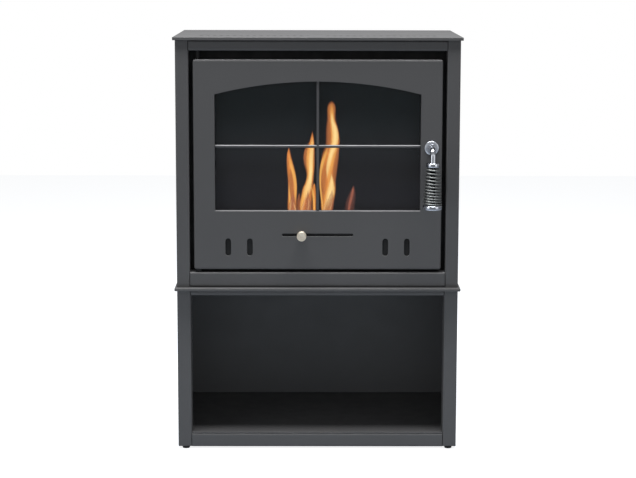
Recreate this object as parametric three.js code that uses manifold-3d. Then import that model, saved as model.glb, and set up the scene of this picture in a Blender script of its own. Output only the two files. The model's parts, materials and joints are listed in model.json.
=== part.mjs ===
// A free-standing bioethanol fireplace: a steel fire cabinet with a glazed, arched-window door,
// standing on a log store of the same width.
// Millimetres. X runs to the right, Y runs back from the front face and Z runs up from the floor.
import * as THREE from "three";
import { mergeVertices } from "three/addons/utils/BufferGeometryUtils.js";
import Module from "manifold-3d";

// ---------------------------------------------------------------- driving dimensions

const gap = 0.3; // between two pieces that touch
const sheet = 2; // steel sheet of the cabinet and the log store
const bend = 3.5; // outside radius of a folded edge
const bendSteps = 3; // chords in a folded edge
const roundSides = 16; // sides of a turned piece
const wideRoundSides = 24; // sides of a wide turned piece
const rimSteps = 2; // chords in a rounded rim
const through = 40; // length of a tool that cuts right through a sheet

// whole object
const overallHeight = 888;
const bodyWidth = 600;
const bodyDepth = 350;

// top plate
const topThickness = 6;
const topOverhangSide = 5;
const topOverhangFront = 6;
const topOverhangBack = 4;
const plateCorner = 3; // corner radius of the two lipped plates, seen from above
const plateEdge = 1; // softening of the mid plate's edges
const ventHolesPerGroup = 17;
const ventHolePitch = 14.2;
const ventHoleRadius = 2.75;
const ventHoleInnerX = 21.5;
const ventHoleY = 73;
const ventHoleSides = 12;

// plate between the cabinet and the log store
const midThickness = 6;
const midOverhangSide = 4.5;
const midOverhangFront = 15;

// log store
const storeHeight = 350; // floor to the underside of the mid plate
const storePostWidth = 29.5;
const storePostReturn = 38;
const storeTopRailHeight = 11.7;
const storeTopRailDepth = 25;
const plinthHeight = 29.8;
const plinthDepth = 25;
const bottomPlateSetback = 5; // under the posts
const rearFlange = 20;

// feet
const footHeight = 5;
const footRadius = 8;
const footStudRadius = 3;
const footStudLength = 12;
const footInsetSide = 16;
const footInsetFront = 14;
const footChamfer = 1;

// cabinet front
const postWidth = 28;
const topRailHeight = 21.7;
const bottomRailHeight = 32.7;
const railBend = 4;
const doorGapTop = 18.5;
const doorGapBottom = 6;
const doorGapSide = 9.2;

// door
const doorDepth = 27;
const doorSheet = 2.5;
const doorCorner = 1; // corner radius beyond the folded edge
const doorLeastCorner = 1; // corner radius of the hollow behind the face
const doorReturn = 10;
const frameClearance = 4; // from the back of the door to the inner frame

// door window
const windowMarginSide = 45;
const windowMarginBottom = 125.5;
const windowMarginTop = 45.9;
const archRise = 27.1;
const archSteps = 20;
const revealDepth = 15;
const barWidth = 5.4;
const barDepth = 9;
const barSetback = 2.5;
const barEdge = 1.8;
const barHeight = 137.5; // window sill to the middle of the level bar
const glassThickness = 4;
const glassLap = 12; // glass beyond the window opening
const sealWidth = 9;
const sealThickness = 2;
const clipLength = 20;
const clipSheet = 1.5;
const clipLap = 8;
const clipFoot = 13;
const clipHeights = [0.16, 0.84]; // places of the clips, as shares of the glass's height

// primary-air slider in the door's lower panel
const ventWidth = 12;
const ventHeight = 38;
const ventCentres = [144, 190];
const ventCentreHeight = 48; // above the door's lower edge
const slotLength = 152;
const slotHeight = 6.2;
const slotCentreHeight = 74.5;
const knobRestX = -34;
const damperOpenShift = 30; // travel from rest to where the plate's holes meet the vents
const damperSheet = 2;
const damperLap = 5; // plate beyond the vents
const damperRise = 9; // plate above the middle of the slot
const damperRunClearance = 0.5;
const guideWidth = 9;
const guideLip = 1.5;
const guideLap = 4;
const guideEndClearance = 6;
const upperGuideLength = 140;
const shankClearance = 0.3;
const shankNutHeight = 4;
const shankNutRadius = 4.6;
const shankBeyondNut = 2;
const knobRadius = 10;
const knobNeckRadius = 5;
const knobNeckLength = 7;
const knobHeadLength = 18;
const knobBackEdge = 4;
const knobFrontEdge = 3;
const knobFaceThickness = 6; // metal between the shank's end and the knob's face
const knobDish = 0.5; // hollow of the knob's face
const knobFlare = 2; // slope between the neck and the head
const knobFootSlope = 1;
const knobFootRadius = 7;
const knobFootLength = 2;

// door hinges: two upright pins near the left edge
const hingeInset = 10; // from the door's left edge
const hingeSetback = 12; // from the door's face
const hingePinRadius = 4;
const hingePinLength = 20; // into the door
const hingePinChamfer = 1;
const hingeHeadRadius = 7;
const hingeHeadHeight = 3;
const hingeBushRadius = 6;
const hingeBushLength = 13;
const hingeWasherRadius = 8;

// door handle and latch
const handleInset = 22.3; // spindle from the door's right edge
const handleHeight = 260.7; // spindle above the door's lower edge
const stemRadius = 5.75;
const handleReach = 42; // door face to the middle of the grip
const elbowRadius = 16;
const elbowSteps = 8;
const stemCollarRadius = 8;
const stemCollarLength = 2.4;
const rosetteRadius = 14.8;
const rosetteThickness = 3;
const rosetteFrontEdge = 1.8;
const rosetteBackEdge = 0.5;
const bushWall = 3;
const bushShoulder = 2.6;
const bushShoulderLength = 5;
const turningClearance = 0.25;
const gripDrop = 26.7; // spindle down to the upper collar
const collarRadius = 14;
const collarLength = 9;
const collarUpperEdge = 2.2;
const collarLowerEdge = 1.2;
const gripLength = 80; // between the upper collar and the end cap
const capRadius = 20;
const capLength = 9.5;
const capLowerEdge = 2.4;
const capUpperEdge = 1.8;
const capBoreDepth = 6; // how far the grip's core reaches into the cap
const coilTurns = 11.5;
const coilWire = 3.2;
const coilTopRadius = 15.2; // outside of the wire
const coilBottomRadius = 20;
const coilCloseUp = 0.16; // how much the turns close up towards the cap
const coilStepsPerTurn = 8;
const coilSides = 5;
const coilEndSteps = 3;
const coilTurnIn = 1.9; // radius of the wire's turn at each end
const threadRadius = 4;
const camLength = 23;
const camHubRadius = 8.5;
const camWidth = 11;
const camThickness = 4;
const camClearance = 0.6;
const camChamfer = 2;
const latchNutRadius = 7.2;
const latchNutHeight = 6;
const threadBeyondNut = 3;
const catchThickness = 3;
const catchHeight = 40;
const catchInset = 2;
const catchLip = 1; // thickness at the lead-in's edge
const catchSideClearance = 1;

// firebox
const frameLap = 10.8; // inner frame behind the door's edge
const frameLapTop = 10;
const frameLapBottom = 12;
const linerInset = 16; // liners beyond the inner frame's opening
const rearAirSpace = 31.1; // from the back liner to the rear panel
const roofClearance = 41;
const baffleSlot = 77;

// burner
const shelfHeight = 101.4; // burner shelf above the cabinet floor
const shelfClearance = 0.6;
const burnerSetback = 17.2; // behind the middle of the firebox
const tankWidth = 300;
const tankDepth = 150;
const tankHeight = 55;
const tankWall = 1.5;
const tankClearance = 2;
const burnerLip = 15; // top plate beyond the tank
const burnerSheet = 2;
const mouthWidth = 190;
const mouthDepth = 60;
const mouthFront = 13; // tank's front wall to the mouth
const burnerCorner = 4;
const woolTop = 6; // wool below the top plate
const woolClearance = 0.5;
const woolEdge = 3;
const lidLap = 6;
const lidSideClearance = 0.5;
const lidRunClearance = 0.4;
const lidRestClearance = 8; // mouth to the opened lid
const lidGuideWall = 2;
const lidGuideLip = 4;
const lugWidth = 20;
const lugHeight = 13;
const lugHole = 3.5;
const lugRim = 2.5;

// ---------------------------------------------------------------- places worked out from them

const bottomPlateZ = footHeight + gap;
const storePanelZ = bottomPlateZ + sheet + gap;
const storePanelHeight = storeHeight - gap - storePanelZ;
const cabinetZ = storeHeight + midThickness + gap;
const cabinetFloorTop = cabinetZ + sheet;
const topPlateZ = overallHeight - topThickness;
const cabinetTop = topPlateZ - gap;
const halfBody = bodyWidth / 2;

const halfDoorway = halfBody - postWidth;
const doorwayBottom = cabinetZ + bottomRailHeight;
const doorwayTop = cabinetTop - topRailHeight;
const halfDoor = halfDoorway - doorGapSide;
const doorBottom = doorwayBottom + doorGapBottom;
const doorHeight = doorwayTop - doorGapTop - doorBottom;
const frameY = doorDepth + frameClearance;
const linerFrontY = frameY + sheet + gap;
const backSheetY = bodyDepth - 2 * sheet - gap;
const linerBackY = backSheetY - rearAirSpace - sheet - gap;
const fireboxDepth = linerBackY - linerFrontY;
const halfFrameOpening = halfDoor - frameLap;
const halfFirebox = halfFrameOpening + linerInset;
const fireboxTop = topPlateZ - roofClearance;
const linerZ = cabinetFloorTop + gap;

const halfWindow = halfDoor - windowMarginSide;
const crownHeight = doorHeight - windowMarginTop;
const springHeight = crownHeight - archRise; // where the window's sides meet its arch
const sealY = revealDepth + gap;
const glassY = sealY + sealThickness + gap;
const glassBackY = glassY + glassThickness + gap;
const hingeX = -halfDoor + hingeInset;
const handleX = halfDoor - handleInset;
const camY = frameY + sheet + gap + catchThickness + camClearance;

const slotEnd = slotLength / 2;
const shankRadius = slotHeight / 2 - shankClearance;
const shelfTop = linerZ + shelfHeight;
const burnerCentreY = linerFrontY + fireboxDepth / 2 + burnerSetback;
const gripTop = -gripDrop - collarLength;
const gripBottom = gripTop - gripLength;

const frontmost = -handleReach - capRadius;
const rearmost = bodyDepth + topOverhangBack;

// ---------------------------------------------------------------- finishes

const powderCoat = { color: 0x4c4c4e, roughness: 0.62, metalness: 0.15 };
const blackSteel = { color: 0x1d1e20, roughness: 0.7, metalness: 0.3 };
const chrome = { color: 0xc9ccd2, roughness: 0.12, metalness: 1 };
const springSteel = { color: 0x8f9294, roughness: 0.3, metalness: 1 };
const zinc = { color: 0xa9abac, roughness: 0.4, metalness: 0.9 };
const nickel = { color: 0xbdb8ae, roughness: 0.25, metalness: 1 };
const stainless = { color: 0x9c9b98, roughness: 0.35, metalness: 0.95 };
const ceramicGlass = {
  color: 0x2a2724,
  roughness: 0.05,
  metalness: 0,
  transparent: true,
  opacity: 0.35,
};
const sealTape = { color: 0x3a3935, roughness: 0.95, metalness: 0 };
const ceramicWool = { color: 0x8d8980, roughness: 1, metalness: 0 };
const footPlastic = { color: 0x1b1b1c, roughness: 0.6, metalness: 0 };

// ---------------------------------------------------------------- outlines

const point = (x, y) => new THREE.Vector2(x, y);

function arc(x, y, radius, from, to, steps) {
  const points = [];
  for (let i = 0; i <= steps; i++) {
    const angle = from + ((to - from) * i) / steps;
    points.push(point(x + radius * Math.cos(angle), y + radius * Math.sin(angle)));
  }
  return points;
}

function circle(x, y, radius, sides) {
  return arc(x, y, radius, 0, 2 * Math.PI * (1 - 1 / sides), sides - 1);
}

function rectangle(left, bottom, right, top) {
  return [point(left, bottom), point(right, bottom), point(right, top), point(left, top)];
}

function roundedRectangle(left, bottom, right, top, radius) {
  const quarter = Math.PI / 2;
  return [
    ...arc(right - radius, bottom + radius, radius, -quarter, 0, bendSteps),
    ...arc(right - radius, top - radius, radius, 0, quarter, bendSteps),
    ...arc(left + radius, top - radius, radius, quarter, 2 * quarter, bendSteps),
    ...arc(left + radius, bottom + radius, radius, 2 * quarter, 3 * quarter, bendSteps),
  ];
}

// A slot with round ends, along its longer side.
function obround(x, y, width, height) {
  const radius = Math.min(width, height) / 2;
  const steps = 5;
  const reachX = width / 2 - radius;
  const reachY = height / 2 - radius;
  const turn = width > height ? -Math.PI / 2 : 0;
  return [
    ...arc(x + reachX, y + reachY, radius, turn, turn + Math.PI, steps),
    ...arc(x - reachX, y - reachY, radius, turn + Math.PI, turn + 2 * Math.PI, steps),
  ];
}

// The door's window: straight sides under a flat arch. grow moves the whole outline outwards.
function windowOutline(grow) {
  const radius = (halfWindow ** 2 + archRise ** 2) / (2 * archRise);
  const centre = crownHeight - radius;
  const side = halfWindow + grow;
  const spread = Math.asin(side / (radius + grow));
  return [
    point(-side, windowMarginBottom - grow),
    point(side, windowMarginBottom - grow),
    ...arc(0, centre, radius + grow, Math.PI / 2 - spread, Math.PI / 2 + spread, archSteps),
  ];
}

function shapeOf(outline, ...holes) {
  const shape = new THREE.Shape(outline);
  shape.holes = holes.map((hole) => new THREE.Path(hole));
  return shape;
}

// Rounds each inner corner of an open line of points.
function roundedCorners(points, radius) {
  return points.flatMap((corner, i) => {
    if (i === 0 || i === points.length - 1) return [corner];
    const toLast = points[i - 1].clone().sub(corner).normalize();
    const toNext = points[i + 1].clone().sub(corner).normalize();
    const half = Math.acos(toLast.dot(toNext)) / 2;
    const centre = toLast
      .clone()
      .add(toNext)
      .setLength(radius / Math.sin(half))
      .add(corner);
    const reach = radius / Math.tan(half);
    const start = toLast.clone().multiplyScalar(reach).add(corner).sub(centre).angle();
    const end = toNext.clone().multiplyScalar(reach).add(corner).sub(centre).angle();
    const turn = Math.atan2(Math.sin(end - start), Math.cos(end - start));
    return arc(centre.x, centre.y, radius, start, start + turn, bendSteps);
  });
}

// Moves an open line of points to its left.
function movedLeft(points, distance) {
  const normals = points.slice(1).map((end, i) => {
    const along = end.clone().sub(points[i]).normalize();
    return point(-along.y, along.x);
  });
  return points.map((corner, i) => {
    const before = normals[Math.max(i - 1, 0)];
    const after = normals[Math.min(i, normals.length - 1)];
    const reach = distance / (1 + before.dot(after));
    return corner.clone().addScaledVector(before, reach).addScaledVector(after, reach);
  });
}

// A folded sheet seen end-on: its outer face runs through the points, its thickness is on the left.
function foldedSheet(points, thickness, radius) {
  const outer = roundedCorners(points, radius);
  const inner = roundedCorners(movedLeft(points, thickness), radius - thickness);
  return shapeOf([...outer, ...inner.reverse()]);
}

// ---------------------------------------------------------------- solids

function extrude(shape, depth, edge = 0) {
  return new THREE.ExtrudeGeometry(shape, {
    depth: depth - 2 * edge,
    steps: 1,
    bevelEnabled: edge > 0,
    bevelThickness: edge,
    bevelSize: edge,
    bevelOffset: -edge,
    bevelSegments: 2,
  }).translate(0, 0, edge);
}

// Drawn from above, standing up from Z = 0.
const upright = (shape, height, edge) => extrude(shape, height, edge);

// Drawn from the front, reaching back from Y = 0.
const frontward = (shape, depth, edge) =>
  extrude(shape, depth, edge).rotateX(Math.PI / 2).translate(0, depth, 0);

// Drawn from the side, as depth and height, and running along X about X = 0.
const crosswise = (shape, length) =>
  extrude(shape, length)
    .applyMatrix4(
      new THREE.Matrix4().makeBasis(
        new THREE.Vector3(0, 1, 0),
        new THREE.Vector3(0, 0, 1),
        new THREE.Vector3(1, 0, 0),
      ),
    )
    .translate(-length / 2, 0, 0);

const block = (width, depth, height) => new THREE.BoxGeometry(width, depth, height);

// The rounded outer side of a turned profile, from height low to height high.
function rim(radius, low, high, lowEdge, highEdge) {
  const quarter = Math.PI / 2;
  return [
    ...arc(radius - lowEdge, low + lowEdge, lowEdge, -quarter, 0, rimSteps),
    ...arc(radius - highEdge, high - highEdge, highEdge, 0, quarter, rimSteps),
  ];
}

// Turned about Z: the profile is a list of [radius, height] and closes on itself or on the axis,
// run either way round.
function turned(profile, sides = roundSides) {
  const points = profile.map(([radius, height]) => point(radius, height));
  if (THREE.ShapeUtils.area(points) < 0) points.reverse();
  return new THREE.LatheGeometry(points, sides).rotateX(Math.PI / 2);
}

// A ring turned about Z, from height low to height high.
function ring(inner, outer, low, high, sides = roundSides) {
  return turned(
    [
      [inner, low],
      [outer, low],
      [outer, high],
      [inner, high],
      [inner, low],
    ],
    sides,
  );
}

function rod(radius, low, high, sides = roundSides) {
  return turned(
    [
      [0, low],
      [radius, low],
      [radius, high],
      [0, high],
    ],
    sides,
  );
}

// A hexagon nut, standing on Z = 0.
const nut = (bore, radius, height) =>
  upright(shapeOf(circle(0, 0, radius, 6), circle(0, 0, bore, roundSides)), height);

// Turns a piece made about Z so that its Z runs back along Y.
const facingBack = (geometry) => geometry.rotateX(-Math.PI / 2);

const wasm = await Module();
wasm.setup();

function solidOf(geometry) {
  const bare = geometry.clone();
  bare.deleteAttribute("normal");
  bare.deleteAttribute("uv");
  const merged = mergeVertices(bare);
  return new wasm.Manifold(
    new wasm.Mesh({
      numProp: 3,
      vertProperties: merged.attributes.position.array,
      triVerts: new Uint32Array(merged.index.array),
    }),
  );
}

function geometryOf(solid) {
  const mesh = solid.getMesh();
  const geometry = new THREE.BufferGeometry();
  geometry.setAttribute("position", new THREE.BufferAttribute(mesh.vertProperties, 3));
  geometry.setIndex(new THREE.BufferAttribute(mesh.triVerts, 1));
  geometry.computeVertexNormals();
  return geometry;
}

const cut = (geometry, ...tools) =>
  geometryOf(tools.reduce((left, tool) => left.subtract(solidOf(tool)), solidOf(geometry)));

const join = (geometry, ...others) =>
  geometryOf(others.reduce((whole, other) => whole.add(solidOf(other)), solidOf(geometry)));

function part(parent, name, finish, geometry, x = 0, y = 0, z = 0) {
  const mesh = new THREE.Mesh(geometry, new THREE.MeshStandardMaterial(finish));
  mesh.name = name;
  mesh.position.set(x, y, z);
  parent.add(mesh);
}

const sides = [
  { name: "left", sign: -1 },
  { name: "right", sign: 1 },
];

// ---------------------------------------------------------------- log store

// A side wall folded in plan: rear flange, wall, front post and the post's return.
function sidePanel(halfWidth, post, postReturn, height, sign) {
  const outer = [
    point(halfWidth - rearFlange, bodyDepth),
    point(halfWidth, bodyDepth),
    point(halfWidth, 0),
    point(halfWidth - post, 0),
    point(halfWidth - post, postReturn),
  ];
  const line = sign > 0 ? outer : outer.map((p) => point(-p.x, p.y)).reverse();
  return upright(foldedSheet(line.reverse(), sheet, bend), height);
}

// A rail folded to a channel that opens to the back.
function channelRail(length, height, depth) {
  const outer = [point(depth, height), point(0, height), point(0, 0), point(depth, 0)];
  return crosswise(foldedSheet(outer, sheet, railBend), length);
}

function backSheet(halfWidth, height) {
  const half = halfWidth - bend - gap;
  return frontward(shapeOf(rectangle(-half, 0, half, height)), sheet);
}

function lippedPlate(halfWidth, overhangFront, thickness, edge, holes = []) {
  const outline = roundedRectangle(-halfWidth, -overhangFront, halfWidth, rearmost, plateCorner);
  return upright(shapeOf(outline, ...holes), thickness, edge);
}

function foot() {
  const top = footHeight + footStudLength;
  return turned([
    [0, 0],
    [footRadius - footChamfer, 0],
    [footRadius, footChamfer],
    [footRadius, footHeight],
    [footStudRadius, footHeight],
    [footStudRadius, top],
    [0, top],
  ]);
}

function logStore() {
  const store = new THREE.Group();
  const halfRail = halfBody - storePostWidth - gap;
  const footX = halfBody - footInsetSide;
  const footPlaces = [
    ["foot_front_left", -footX, footInsetFront],
    ["foot_front_right", footX, footInsetFront],
    ["foot_rear_left", -footX, bodyDepth - footInsetFront],
    ["foot_rear_right", footX, bodyDepth - footInsetFront],
  ];
  const studHoles = footPlaces.map(([, x, y]) => circle(x, y, footStudRadius + gap, roundSides));

  const postInner = halfRail + gap;
  const bottomOutline = [
    point(-halfBody, bottomPlateSetback),
    point(-postInner, bottomPlateSetback),
    point(-postInner, plinthDepth + gap),
    point(postInner, plinthDepth + gap),
    point(postInner, bottomPlateSetback),
    point(halfBody, bottomPlateSetback),
    point(halfBody, bodyDepth),
    point(-halfBody, bodyDepth),
  ];
  part(
    store,
    "store_bottom_plate",
    powderCoat,
    upright(shapeOf(bottomOutline, ...studHoles), sheet),
    0,
    0,
    bottomPlateZ,
  );
  for (const [name, x, y] of footPlaces) part(store, name, footPlastic, foot(), x, y, 0);
  for (const { name, sign } of sides) {
    const panel = sidePanel(halfBody, storePostWidth, storePostReturn, storePanelHeight, sign);
    part(store, `store_${name}_panel`, powderCoat, panel, 0, 0, storePanelZ);
  }
  part(
    store,
    "store_back_panel",
    powderCoat,
    backSheet(halfBody, storePanelHeight),
    0,
    backSheetY,
    storePanelZ,
  );
  part(
    store,
    "store_plinth",
    powderCoat,
    channelRail(2 * halfRail, plinthHeight, plinthDepth),
    0,
    0,
    bottomPlateZ,
  );
  part(
    store,
    "store_top_rail",
    powderCoat,
    channelRail(2 * halfRail, storeTopRailHeight, storeTopRailDepth),
    0,
    0,
    storeHeight - gap - storeTopRailHeight,
  );

  // The log floor lies on the plinth's top flange and stops short of the back panel.
  const floorDepth = backSheetY - gap;
  const notchY = storePostReturn + gap;
  const wide = halfBody - sheet - gap;
  const floorOutline = [
    point(-halfRail, sheet / 2),
    point(halfRail, sheet / 2),
    point(halfRail, notchY),
    point(wide, notchY),
    point(wide, floorDepth),
    point(-wide, floorDepth),
    point(-wide, notchY),
    point(-halfRail, notchY),
  ];
  part(
    store,
    "store_floor",
    powderCoat,
    upright(shapeOf(floorOutline), sheet),
    0,
    0,
    bottomPlateZ + plinthHeight + gap,
  );
  part(
    store,
    "mid_plate",
    powderCoat,
    lippedPlate(halfBody + midOverhangSide, midOverhangFront, midThickness, plateEdge),
    0,
    0,
    storeHeight,
  );
  return store;
}

// ---------------------------------------------------------------- cabinet

function topPlate() {
  const holes = [];
  for (const { sign } of sides)
    for (let i = 0; i < ventHolesPerGroup; i++) {
      const x = sign * (ventHoleInnerX + i * ventHolePitch);
      holes.push(circle(x, ventHoleY, ventHoleRadius, ventHoleSides));
    }
  return lippedPlate(halfBody + topOverhangSide, topOverhangFront, topThickness, 0, holes);
}

// A tool that bores a flange at height for a hinge pin.
const hingeHole = (height) =>
  rod(hingePinRadius + gap, height - 2 * sheet, height + 2 * sheet).translate(hingeX, hingeSetback, 0);

// A pin with its head at Z = 0 and its shank upwards.
function hingePin(shank) {
  return turned([
    [0, -hingeHeadHeight],
    [hingeHeadRadius, -hingeHeadHeight],
    [hingeHeadRadius, 0],
    [hingePinRadius, 0],
    [hingePinRadius, shank - hingePinChamfer],
    [hingePinRadius - hingePinChamfer, shank],
    [0, shank],
  ]);
}

function innerFrame() {
  const half = halfBody - sheet - gap;
  const low = doorBottom + frameLapBottom - linerZ;
  const high = doorBottom + doorHeight - frameLapTop - linerZ;
  const opening = roundedRectangle(-halfFrameOpening, low, halfFrameOpening, high, doorCorner);
  return frontward(
    shapeOf(rectangle(-half, 0, half, cabinetTop - linerZ), opening),
    sheet,
  );
}

function burnerShelf() {
  const half = halfFirebox - shelfClearance;
  const depth = fireboxDepth - 2 * shelfClearance;
  const bridge = foldedSheet(
    [point(half, 0), point(half, shelfHeight), point(-half, shelfHeight), point(-half, 0)],
    sheet,
    bend,
  );
  const opening = block(tankWidth + 2 * tankClearance, tankDepth + 2 * tankClearance, through);
  const openingY = burnerCentreY - linerFrontY - shelfClearance;
  return cut(frontward(bridge, depth), opening.translate(0, openingY, shelfHeight));
}

function cabinet() {
  const box = new THREE.Group();
  const railHalf = halfDoorway - gap;
  const railDepth = frameY - gap;
  const panelHeight = cabinetTop - cabinetZ;
  const linerHeight = fireboxTop - linerZ;
  const linerOutside = halfFirebox + sheet;

  part(box, "top_plate", powderCoat, topPlate(), 0, 0, topPlateZ);
  for (const { name, sign } of sides) {
    const panel = sidePanel(halfBody, postWidth, railDepth, panelHeight, sign);
    part(box, `${name}_side_panel`, powderCoat, panel, 0, 0, cabinetZ);
  }
  part(box, "rear_panel", powderCoat, backSheet(halfBody, panelHeight), 0, backSheetY, cabinetZ);

  const floorHalf = halfBody - sheet - gap;
  const floorOutline = rectangle(-floorHalf, railDepth + gap, floorHalf, backSheetY - gap);
  part(box, "cabinet_floor", powderCoat, upright(shapeOf(floorOutline), sheet), 0, 0, cabinetZ);

  const topRail = channelRail(2 * railHalf, topRailHeight, railDepth);
  const bottomRail = channelRail(2 * railHalf, bottomRailHeight, railDepth);
  part(
    box,
    "top_rail",
    powderCoat,
    cut(topRail, hingeHole(0)),
    0,
    0,
    doorwayTop,
  );
  part(
    box,
    "bottom_rail",
    powderCoat,
    cut(bottomRail, hingeHole(bottomRailHeight)),
    0,
    0,
    cabinetZ,
  );
  part(box, "inner_frame", blackSteel, innerFrame(), 0, frameY, linerZ);

  for (const { name, sign } of sides) {
    part(
      box,
      `firebox_liner_${name}`,
      blackSteel,
      block(sheet, fireboxDepth, linerHeight),
      sign * (halfFirebox + sheet / 2),
      linerFrontY + fireboxDepth / 2,
      linerZ + linerHeight / 2,
    );
  }
  part(
    box,
    "firebox_liner_back",
    blackSteel,
    frontward(shapeOf(rectangle(-linerOutside, 0, linerOutside, linerHeight)), sheet),
    0,
    linerBackY + gap,
    linerZ,
  );
  const baffleFront = linerFrontY + baffleSlot;
  const baffleOutline = rectangle(-linerOutside, baffleFront, linerOutside, linerBackY + gap + sheet);
  part(
    box,
    "firebox_baffle",
    blackSteel,
    upright(shapeOf(baffleOutline), sheet),
    0,
    0,
    fireboxTop + gap,
  );
  part(
    box,
    "burner_shelf",
    blackSteel,
    burnerShelf(),
    0,
    linerFrontY + shelfClearance,
    linerZ,
  );

  const pinShankTop = sheet + gap + doorGapTop + hingePinLength;
  const pinShankBottom = sheet + gap + doorGapBottom + hingePinLength;
  part(
    box,
    "hinge_pin_upper",
    blackSteel,
    hingePin(pinShankTop).rotateX(Math.PI),
    hingeX,
    hingeSetback,
    doorwayTop + sheet + gap,
  );
  part(
    box,
    "hinge_pin_lower",
    blackSteel,
    hingePin(pinShankBottom),
    hingeX,
    hingeSetback,
    doorwayBottom - sheet - gap,
  );
  part(
    box,
    "hinge_washer",
    blackSteel,
    ring(hingePinRadius + gap, hingeWasherRadius, gap, doorGapBottom - gap),
    hingeX,
    hingeSetback,
    doorwayBottom,
  );

  // The catch has a sloped lead-in towards the doorway.
  const catchLeft = halfFrameOpening + catchInset;
  const catchRight = halfFirebox - catchSideClearance;
  const catchOutline = [
    point(catchLeft + catchThickness, 0),
    point(catchRight, 0),
    point(catchRight, catchThickness),
    point(catchLeft + catchThickness, catchThickness),
    point(catchLeft, catchLip),
    point(catchLeft, 0),
  ];
  part(
    box,
    "latch_catch",
    zinc,
    upright(shapeOf(catchOutline), catchHeight),
    0,
    linerFrontY,
    doorBottom + handleHeight - catchHeight / 2,
  );
  return box;
}

// ---------------------------------------------------------------- door

function doorPanel() {
  const inset = (amount) =>
    roundedRectangle(
      -halfDoor + amount,
      amount,
      halfDoor - amount,
      doorHeight - amount,
      Math.max(bend + doorCorner - amount, doorLeastCorner),
    );
  const behind = doorDepth + through;
  const shell = frontward(shapeOf(inset(0)), behind, bend);
  const trimmed = block(3 * halfDoor, behind, 3 * doorHeight).translate(
    0,
    doorDepth + behind / 2,
    doorHeight / 2,
  );
  const hollow = frontward(shapeOf(inset(doorSheet)), doorDepth - 2 * doorSheet);
  const mouth = frontward(shapeOf(inset(doorSheet + doorReturn)), behind);
  const openings = [windowOutline(0)];
  for (const { sign } of sides)
    for (const centre of ventCentres)
      openings.push(obround(sign * centre, ventCentreHeight, ventWidth, ventHeight));
  openings.push(obround(0, slotCentreHeight, slotLength, slotHeight));
  const bushHole = stemRadius + turningClearance + bushWall + gap;
  openings.push(circle(handleX, handleHeight, bushHole, roundSides));
  const holes = openings.map((outline) =>
    frontward(shapeOf(outline), through).translate(0, -through / 2, 0),
  );
  const revealY = doorSheet / 2;
  const revealShape = shapeOf(windowOutline(doorSheet), windowOutline(0));
  const reveal = frontward(revealShape, revealDepth - revealY);
  const pan = cut(
    shell,
    trimmed,
    hollow.translate(0, doorSheet, 0),
    mouth.translate(0, 2 * doorSheet, 0),
    ...holes,
    hingeHole(0),
    hingeHole(doorHeight),
  );
  return join(pan, reveal.translate(0, revealY, 0));
}

// Two crossed bars that end just inside the reveal.
function windowBars() {
  const half = barWidth / 2;
  const sill = windowMarginBottom + gap;
  const level = windowMarginBottom + barHeight;
  const end = halfWindow - gap;
  const head = crownHeight - gap;
  return frontward(
    shapeOf([
      point(-half, sill),
      point(half, sill),
      point(half, level - half),
      point(end, level - half),
      point(end, level + half),
      point(half, level + half),
      point(half, head),
      point(-half, head),
      point(-half, level + half),
      point(-end, level + half),
      point(-end, level - half),
      point(-half, level - half),
    ]),
    barDepth,
    barEdge,
  );
}

// A clip stands on the door's face sheet beside the glass and laps over its edge.
function glassClip(sign) {
  const edge = halfWindow + glassLap + gap;
  const line = [
    point(edge + clipFoot, doorSheet + gap),
    point(edge, doorSheet + gap),
    point(edge, glassBackY),
    point(edge - clipLap, glassBackY),
  ];
  const outline = [...line, ...movedLeft(line, -clipSheet).reverse()];
  return upright(shapeOf(outline.map((p) => point(sign * p.x, p.y))), clipLength);
}

// A strip along the damper's edge, with a lip over it. direction is 1 above the plate, -1 below.
function damperGuide(length, direction) {
  const back = damperSheet + 2 * damperRunClearance;
  const outline = [
    point(0, 0),
    point(0, direction * guideWidth),
    point(back + guideLip, direction * guideWidth),
    point(back + guideLip, -direction * guideLap),
    point(back, -direction * guideLap),
    point(back, 0),
  ];
  return crosswise(shapeOf(outline), length);
}

// The bush fills the hole in the face sheet, with a shoulder behind the sheet.
function handleBush() {
  const bore = stemRadius + turningClearance;
  const body = bore + bushWall;
  const front = doorSheet + gap;
  return facingBack(
    turned([
      [bore, 0],
      [body, 0],
      [body, front],
      [body + bushShoulder, front],
      [body + bushShoulder, front + bushShoulderLength],
      [body, front + bushShoulderLength],
      [body, camY - gap],
      [bore, camY - gap],
      [bore, 0],
    ]),
  );
}

function rosette() {
  const bore = stemRadius + turningClearance;
  return facingBack(
    turned(
      [
        [bore, gap],
        ...rim(rosetteRadius, gap, rosetteThickness + gap, rosetteBackEdge, rosetteFrontEdge),
        [bore, rosetteThickness + gap],
        [bore, gap],
      ],
      wideRoundSides,
    ).rotateX(Math.PI),
  );
}

const ventReach = ventCentres[ventCentres.length - 1] + ventWidth / 2;
const plateLow = ventCentreHeight - ventHeight / 2 - damperLap;
const plateHigh = slotCentreHeight + damperRise;
const plateHalf = ventReach + damperLap;
const damperY = doorSheet + damperRunClearance;
const guideY = doorSheet + gap;

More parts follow.
